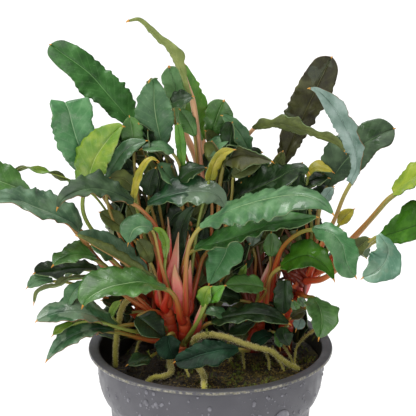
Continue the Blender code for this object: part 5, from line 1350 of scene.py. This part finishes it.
# Painted shade: the flange's top is darker towards the front
front = add(tree, "MapRange", {"Value": apart.outputs["Y"], "From Min": -14 * MM, "From Max": -34 * MM,
                               "To Max": 0.75}).outputs["Result"]
on_top = add(tree, "MapRange", {"Value": apart.outputs["Z"], "From Min": POT_HEIGHT - 0.25 * MM,
                                "From Max": POT_HEIGHT - 0.1 * MM}).outputs["Result"]
front_rim_shade = add(tree, "Math", {0: front, 1: on_top}, operation="MULTIPLY").outputs[0]
rim_with_front_shade = add(tree, "Mix", {0: front_rim_shade, 6: greys, 7: "#3a3a3b"}, data_type="RGBA").outputs[2]
edge = add(tree, "MapRange", {"Value": radius, "From Min": RIM_RADIUS - 0.22 * MM,
                              "From Max": RIM_RADIUS - 0.1 * MM}).outputs["Result"]
rim_line = add(tree, "Math", {0: edge, 1: high}, operation="MULTIPLY").outputs[0]
broken = add(tree, "MapRange", {"Value": speckle(tree, 1.3, 5), "From Min": 0.4, "From Max": 0.58})
crust = add(tree, "Math", {0: rim_line, 1: broken.outputs["Result"]}, operation="MULTIPLY").outputs[0]
lime = add(tree, "ValToRGB", {"Fac": speckle(tree, 0.8, 3)},
           [(0.35, "#75725c"), (0.5, "#8f8b79"), (0.65, "#a9a596")]).outputs["Color"]
rough = add(tree, "MapRange", {"Value": speckle(tree, 5, 3), "From Min": 0.35, "From Max": 0.65,
                               "To Min": 0.32, "To Max": 0.52})
tree.links.new(rough.outputs["Result"], surface.inputs["Roughness"])
relief = add(tree, "Math", {0: crust, 1: 1.5, 2: speckle(tree, 0.8, 3)}, operation="MULTIPLY_ADD")
dress(tree, surface, add(tree, "Mix", {0: crust, 6: rim_with_front_shade, 7: lime}, data_type="RGBA").outputs[2],
      relief.outputs[0], 0.18, 0.15)
# Painted shade: the inner wall is near-black, far darker than the plastic itself
inside_painted_shade, tree, surface = new_material("pot_inside_painted_shade", 0.3)
painted_shade_patches = add(tree, "ValToRGB", {"Fac": speckle(tree, 6, 5)},
             [(0.35, "#131211"), (0.6, "#242220")]).outputs["Color"]
dress(tree, surface, painted_shade_patches, speckle(tree, 1.5, 3), 0.3, 0.2)
print("pot has", plastic.name, "and", inside_painted_shade.name)

# %% Pot wall
# All in millimetres
TOP = POT_HEIGHT / MM
LIP_THICKNESS = 1.8
COLLAR_RADIUS = 41.6
COLLAR_HEIGHT = 21.3
COLLAR_RISE = 13
BODY_RADIUS = 37.0
BASE_RADIUS = 31.6
FOOT = 1.2
POT_WALL = 0.9
POT_FLOOR = 1.4
SIDES = 144
STEP = TOP - COLLAR_HEIGHT
# An edge that bends by more than this stays sharp
SHARP_FROM = math.radians(35)


def wall_radius(height):
    """Outer radius of the wall at this height. It swells from the body to the collar above the step."""
    if height >= STEP + COLLAR_RISE:
        return COLLAR_RADIUS
    if height >= STEP:
        turn = math.acos(1 - ((height - STEP) / COLLAR_RISE) ** 1.25)
        return BODY_RADIUS + (COLLAR_RADIUS - 0.1 - BODY_RADIUS) * math.sin(turn)
    return BASE_RADIUS + (BODY_RADIUS - BASE_RADIUS) * (height - FOOT) / (STEP - FOOT)


def revolve(name, profile, place_of=None):
    """A closed round body about the pot's axis, from (radius, height) pairs in mm that place_of may move."""
    def point(column, row):
        radius, height = profile[row]
        turn = math.tau * column / SIDES
        if place_of:
            radius, height = place_of(radius, height, turn, row)
        return Vector((radius * math.cos(turn), radius * math.sin(turn), height)) * MM

    made = lay_sheet(name, SIDES, len(profile) - 1, point)
    merge_seams()
    bpy.ops.object.shade_smooth_by_angle(angle=SHARP_FROM)
    return made


heights = [FOOT + (TOP - LIP_THICKNESS - FOOT) * step / 40 for step in range(41)]
outer = [(wall_radius(height), height) for height in heights]
inner = [(radius - POT_WALL, height) for radius, height in reversed(outer[1:])]
lip = [(41.9, TOP - LIP_THICKNESS), (43.8, TOP - LIP_THICKNESS), (44.6, TOP - 1.6), (44.95, TOP - 1.2),
       (45.0, TOP - 0.7), (44.8, TOP - 0.2), (44.3, TOP), (43, TOP), (41.8, TOP), (41.3, TOP - 0.15),
       (41.0, TOP - 0.5), (40.9, TOP - 1.0)]
profile = [(0, 0), (15, 0), (BASE_RADIUS - 0.9, 0), (BASE_RADIUS - 0.3, 0.3)]
profile += outer + lip + inner
profile += [(BASE_RADIUS - POT_WALL - 0.6, POT_FLOOR), (15, POT_FLOOR), (0, POT_FLOOR)]
pot = revolve("pot_shell", profile)
pot.data.materials.append(plastic)
pot.data.materials.append(inside_painted_shade)
# Painted shade: the faces of the inner wall take the near-black finish
for face in pot.data.polygons:
    towards_axis = face.center.xy.dot(face.normal.xy) < -0.3 * face.center.xy.length
    if towards_axis and face.center.z < POT_HEIGHT - 0.2 * MM:
        face.material_index = 1
DRAIN_HOLES = 6
DRAIN_RADIUS = 3.5 * MM
DRAIN_RING = 19 * MM
for number in range(DRAIN_HOLES):
    turn = math.tau * number / DRAIN_HOLES
    bpy.ops.object.select_all(action="DESELECT")
    place = (DRAIN_RING * math.cos(turn), DRAIN_RING * math.sin(turn), 0)
    bpy.ops.mesh.primitive_cylinder_add(vertices=32, radius=DRAIN_RADIUS, depth=6 * MM, location=place)
    cutter = bpy.context.object
    bpy.ops.object.select_all(action="DESELECT")
    bpy.context.view_layer.objects.active = pot
    pot.select_set(True)
    drill = pot.modifiers.new("drain", "BOOLEAN")
    drill.object = cutter
    bpy.ops.object.modifier_apply(modifier=drill.name)
    bpy.data.objects.remove(cutter)
bpy.ops.object.shade_smooth_by_angle(angle=SHARP_FROM)
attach(pot, "root")
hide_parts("pot")
print("pot with", DRAIN_HOLES, "drain holes,", len(pot.data.polygons), "faces")

# %% [markdown]
# ## Soil, grains and moss
# Wet peat fills the pot to just under its collar and has sunk at the left. Loose grains and fibres lie on
# it, and moss has come up where light reaches it, mostly at the front right. The plug could be a smooth
# disc with a painted relief, but its surface shows from above, so it has real lumps and real grains.

# %% Soil
SOIL_DEPTH = 6.6
SOIL_DIP = 6.0
SOIL_RINGS = 56
GAP = 0.3
soil_skin, tree, surface = new_material("wet_peat_soil", 0.7)
crumbs = add(tree, "ValToRGB", {"Fac": speckle(tree, 1.6, 6)},
             [(0.3, "#0d0a06"), (0.47, "#20190d"), (0.6, "#3a3018"), (0.75, "#57491f")]).outputs["Color"]
mossy = add(tree, "MapRange", {"Value": speckle(tree, 9, 3), "From Min": 0.5, "From Max": 0.62})
apart = add(tree, "SeparateXYZ", {"Vector": add(tree, "TexCoord").outputs["Object"]})
rightward = add(tree, "MapRange", {"Value": apart.outputs["X"], "From Min": -12 * MM, "From Max": 4 * MM})
moss_amount = add(tree, "Math", {0: mossy.outputs["Result"], 1: rightward.outputs["Result"]},
                  operation="MULTIPLY").outputs[0]
film = add(tree, "ValToRGB", {"Fac": speckle(tree, 0.9, 4)},
           [(0.35, "#2c2a0c"), (0.55, "#565018"), (0.7, "#7c7530")]).outputs["Color"]
dress(tree, surface, add(tree, "Mix", {0: moss_amount, 6: crumbs, 7: film}, data_type="RGBA").outputs[2],
      speckle(tree, 0.8, 5), 0.9, 0.6)


def soil_height(x, y):
    """Height of the soil's surface in mm: almost flat, with a hollow at the left."""
    share = min(max((-x - 24) / 9, 0), 1)
    dip = share * share * (3 - 2 * share)
    return TOP - SOIL_DEPTH - SOIL_DIP * dip + 0.5 * math.sin(x / 6) * math.cos(y / 7)


def lumpy(x, y):
    """Small lumps on the soil in mm."""
    coarse = noise.noise(Vector((x * 0.45, y * 0.45, 0)))
    fine = noise.noise(Vector((x * 1.1, y * 1.1, 4)))
    return 0.45 * coarse + 0.3 * fine


soil_edge = wall_radius(TOP - SOIL_DEPTH) - POT_WALL - GAP


def soil_place(radius, height, turn, row):
    """The soil's top follows its surface, and its side keeps a gap to the pot."""
    if row > SOIL_RINGS:
        top = soil_height(radius * math.cos(turn), radius * math.sin(turn)) - 0.5
        return (min(radius, wall_radius(min(height, top)) - POT_WALL - GAP), min(height, top))
    x, y = radius * math.cos(turn), radius * math.sin(turn)
    height = soil_height(x, y) + lumpy(x, y)
    return (min(radius, wall_radius(height) - POT_WALL - GAP), height)


SOIL_FLOOR = POT_FLOOR + GAP
sides = [(50, TOP - SOIL_DEPTH - (TOP - SOIL_DEPTH - SOIL_FLOOR) * step / 14) for step in range(1, 15)]
profile = [(soil_edge * ring / SOIL_RINGS, 0) for ring in range(SOIL_RINGS + 1)]
profile += sides + [(12, SOIL_FLOOR), (0, SOIL_FLOOR)]
soil = revolve("soil_plug", profile, soil_place)
soil.data.materials.append(soil_skin)
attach(soil, "root")
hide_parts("soil")
print("soil", len(soil.data.polygons), "faces")

# %% Grains and fibres on the soil


def loose_finish(name, roughness, stops, size, relief):
    """Matt natural bits: colours change from bit to bit, because the noise is coarser than one bit."""
    made, tree, surface = new_material(name, roughness)
    dress(tree, surface, add(tree, "ValToRGB", {"Fac": speckle(tree, size, 4)}, stops).outputs["Color"],
          speckle(tree, size / 5, 2), relief, 0.1)
    return made


GRAIN_DARK = loose_finish("soil_grain_dark", 0.6,
                          [(0.35, "#0f0b07"), (0.5, "#2b2010"), (0.65, "#43351a")], 1.5, 0.5)
GRAIN_TAN = loose_finish("soil_grain_tan", 0.65,
                         [(0.35, "#4a3a18"), (0.5, "#6e5a24"), (0.65, "#94803c")], 1.5, 0.5)
MOSS_SKIN = loose_finish("moss_leaflet", 0.55,
                         [(0.35, "#3c4c14"), (0.5, "#646f1e"), (0.68, "#93a030")], 3, 0.2)
rng = random.Random(11)


def soil_spot(reach=38.5):
    """A random place on the soil, in mm."""
    turn = math.tau * rng.random()
    radius = reach * rng.random() ** 0.5
    return radius * math.cos(turn), radius * math.sin(turn)


def on_soil(x, y, above=0.0):
    """The point on the soil at this place, or so many millimetres above it."""
    return Vector((x, y, soil_height(x, y) + lumpy(x, y) + above)) * MM


def grains(name, count, smallest, largest, skin, keep=lambda x, y: True):
    """So many grains between two sizes in mm, mostly small ones, wherever keep says yes."""
    placements = []
    while len(placements) < count:
        x, y = soil_spot()
        if keep(x, y):
            size = (smallest + (largest - smallest) * rng.random() ** 2.5) * MM
            place, direction = on_soil(x, y, 0.1), any_direction(rng)
            scales = (size, size * rng.uniform(0.6, 1), size * rng.uniform(0.5, 0.9))
            placements.append((place, direction, scales))
    return scatter(name, GRAIN_SHAPE, placements, skin)


def sunny(x, y):
    """True where the soil catches light in the photo: at the front and to the right."""
    return y < 6 and x > -16 and rng.random() < 0.25 + 0.75 * min(1, max(0, (x + 16) / 14))


dark = grains("grains_dark", 1600, 0.5, 2.0, GRAIN_DARK)
# Painted light: the pale tan grains lie only where the soil is lit, which makes it look lighter there
tan = grains("grains_tan_on_lit_soil", 3200, 0.25, 0.9, GRAIN_TAN, sunny)
fibres = []
for _ in range(160):
    x, y = soil_spot(36)
    lean = any_direction(rng)
    lean.z *= 0.25
    fibres.append((on_soil(x, y, 0.4), lean.normalized(), (0.13 * MM, 0.13 * MM, rng.uniform(2, 6) * MM)))
fibre = scatter("fibres", HAIR_SHAPE, fibres, GRAIN_TAN)
litter = join([dark, tan, fibre], "soil_grains")
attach(litter, "root")
print("soil grains", len(litter.data.polygons), "faces")

# %% Moss
TUFTS = 260
TUFT_LEAFLETS = 14


def tuft(place, height):
    """One sprig: a short stem with leaflets that stand off it all round."""
    lean = any_direction(rng, 0.45).normalized()
    rows = [(place - lean * 0.6 * MM, lean, (0.1 * MM, 0.1 * MM, height + 0.6 * MM))]
    for number in range(TUFT_LEAFLETS):
        share = (number + 1) / TUFT_LEAFLETS
        turn = 2.4 * number + rng.random()
        side = lean.orthogonal().normalized()
        off = side * math.cos(turn) + lean.cross(side) * math.sin(turn)
        scales = (0.13 * MM, 0.05 * MM, rng.uniform(0.5, 1.0) * MM)
        rows.append((place + lean * height * share, (off + lean * 0.8).normalized(), scales))
    return rows


sprigs = []
while len(sprigs) < TUFTS * (TUFT_LEAFLETS + 1):
    x, y = soil_spot(38)
    patch = noise.noise(Vector((x * 0.16, y * 0.16, 9)))
    if patch > (0.05 if sunny(x, y) else 0.32):
        sprigs += tuft(on_soil(x, y), rng.uniform(0.5, 1.8) * MM)
# Column, row and depth of sprigs that have climbed onto the crown and the first bit of the long root
CLIMBED = [(184, 343, -10), (187, 341, -10), (190, 344, -11), (194, 346, -12), (186, 347, -12),
           (196, 342, -12), (206, 334, -13), (207, 332, -13), (208, 335, -13), (137, 352, -14),
           (150, 354, -14), (153, 356, -14), (313, 340, 6), (318, 338, 6)]
for place in CLIMBED:
    sprigs += tuft(seen(*place), 1.4 * MM)
moss = scatter("moss_tufts", HAIR_SHAPE, sprigs, MOSS_SKIN)
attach(moss, "root")
print("moss", len(moss.data.polygons), "faces")

# %% [markdown]
# ## Water droplets
# The plant was just lifted out of water. Droplets are low domes, because wet plastic pulls them flat, and
# most are under a millimetre wide. One large drop hangs at the front right. They could be painted into the
# wall's relief, but a real drop bulges past the wall and catches light at its rim, so each is a small dome.

# %% Droplets
water, tree, surface = new_material("water_bead", 0.06, 1.4)
greys = add(tree, "ValToRGB", {"Fac": speckle(tree, 3, 1)},
            [(0.3, "#6c6b71"), (0.7, "#8d8c93")]).outputs["Color"]
dress(tree, surface, greys, speckle(tree, 0.7, 1), 0.1, 0.05)
DROP_SHAPE = template(bpy.ops.mesh.primitive_ico_sphere_add, subdivisions=2, radius=0.5)
rng = random.Random(23)
drops = []


def wall_drop(turn, height, width):
    """A flat dome on the pot's wall, hanging a little lower than it is wide."""
    outward = Vector((math.cos(turn), math.sin(turn), 0))
    place = outward * (wall_radius(height) + 0.02) * MM + Vector((0, 0, height * MM))
    drops.append((place, outward, (width * MM, width * MM * rng.uniform(1.0, 1.35), width * 0.5 * MM)))


for _ in range(180):
    wall_drop(math.tau * rng.random(), TOP - 3 - 20 * rng.random() ** 1.3, 0.35 + 1.5 * rng.random() ** 4)
for _ in range(60):
    wall_drop(math.radians(rng.uniform(212, 250)), TOP - 3 - 16 * rng.random(),
              0.4 + 1.5 * rng.random() ** 3)
for _ in range(50):
    wall_drop(math.radians(rng.uniform(285, 335)), TOP - 3 - 13 * rng.random(),
              0.4 + 1.3 * rng.random() ** 3)
small = scatter("small_drops", DROP_SHAPE, drops, water)
bpy.ops.object.select_all(action="DESELECT")
small.select_set(True)
bpy.context.view_layer.objects.active = small
bpy.ops.object.shade_smooth()

bpy.ops.object.select_all(action="DESELECT")
bpy.ops.mesh.primitive_uv_sphere_add(segments=48, ring_count=24, radius=1)
large = bpy.context.object
BIG_DROP_COLUMN = 281.5
BIG_DROP_HALF = 2.7
drop_height = TOP - 15.2
turn = -math.acos((BIG_DROP_COLUMN - AXIS_COLUMN) * PIXEL / MM / (wall_radius(drop_height) + 0.3))
outward = Vector((math.cos(turn), math.sin(turn), 0))
sideways = Vector((-math.sin(turn), math.cos(turn), 0))
for vertex in large.data.vertices:
    x, y, z = vertex.co
    height = drop_height + BIG_DROP_HALF * z
    out = wall_radius(height) + 0.1 + 1.1 * x * (1 - 0.3 * z)
    vertex.co = (outward * out + sideways * (BIG_DROP_HALF - 0.35 * z) * y * 1.25) * MM
    vertex.co.z += height * MM
large.data.materials.append(water)
bpy.ops.object.shade_smooth()
wet = join([small, large], "pot_droplets")
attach(wet, "root")
print("droplets", len(wet.data.polygons), "faces")
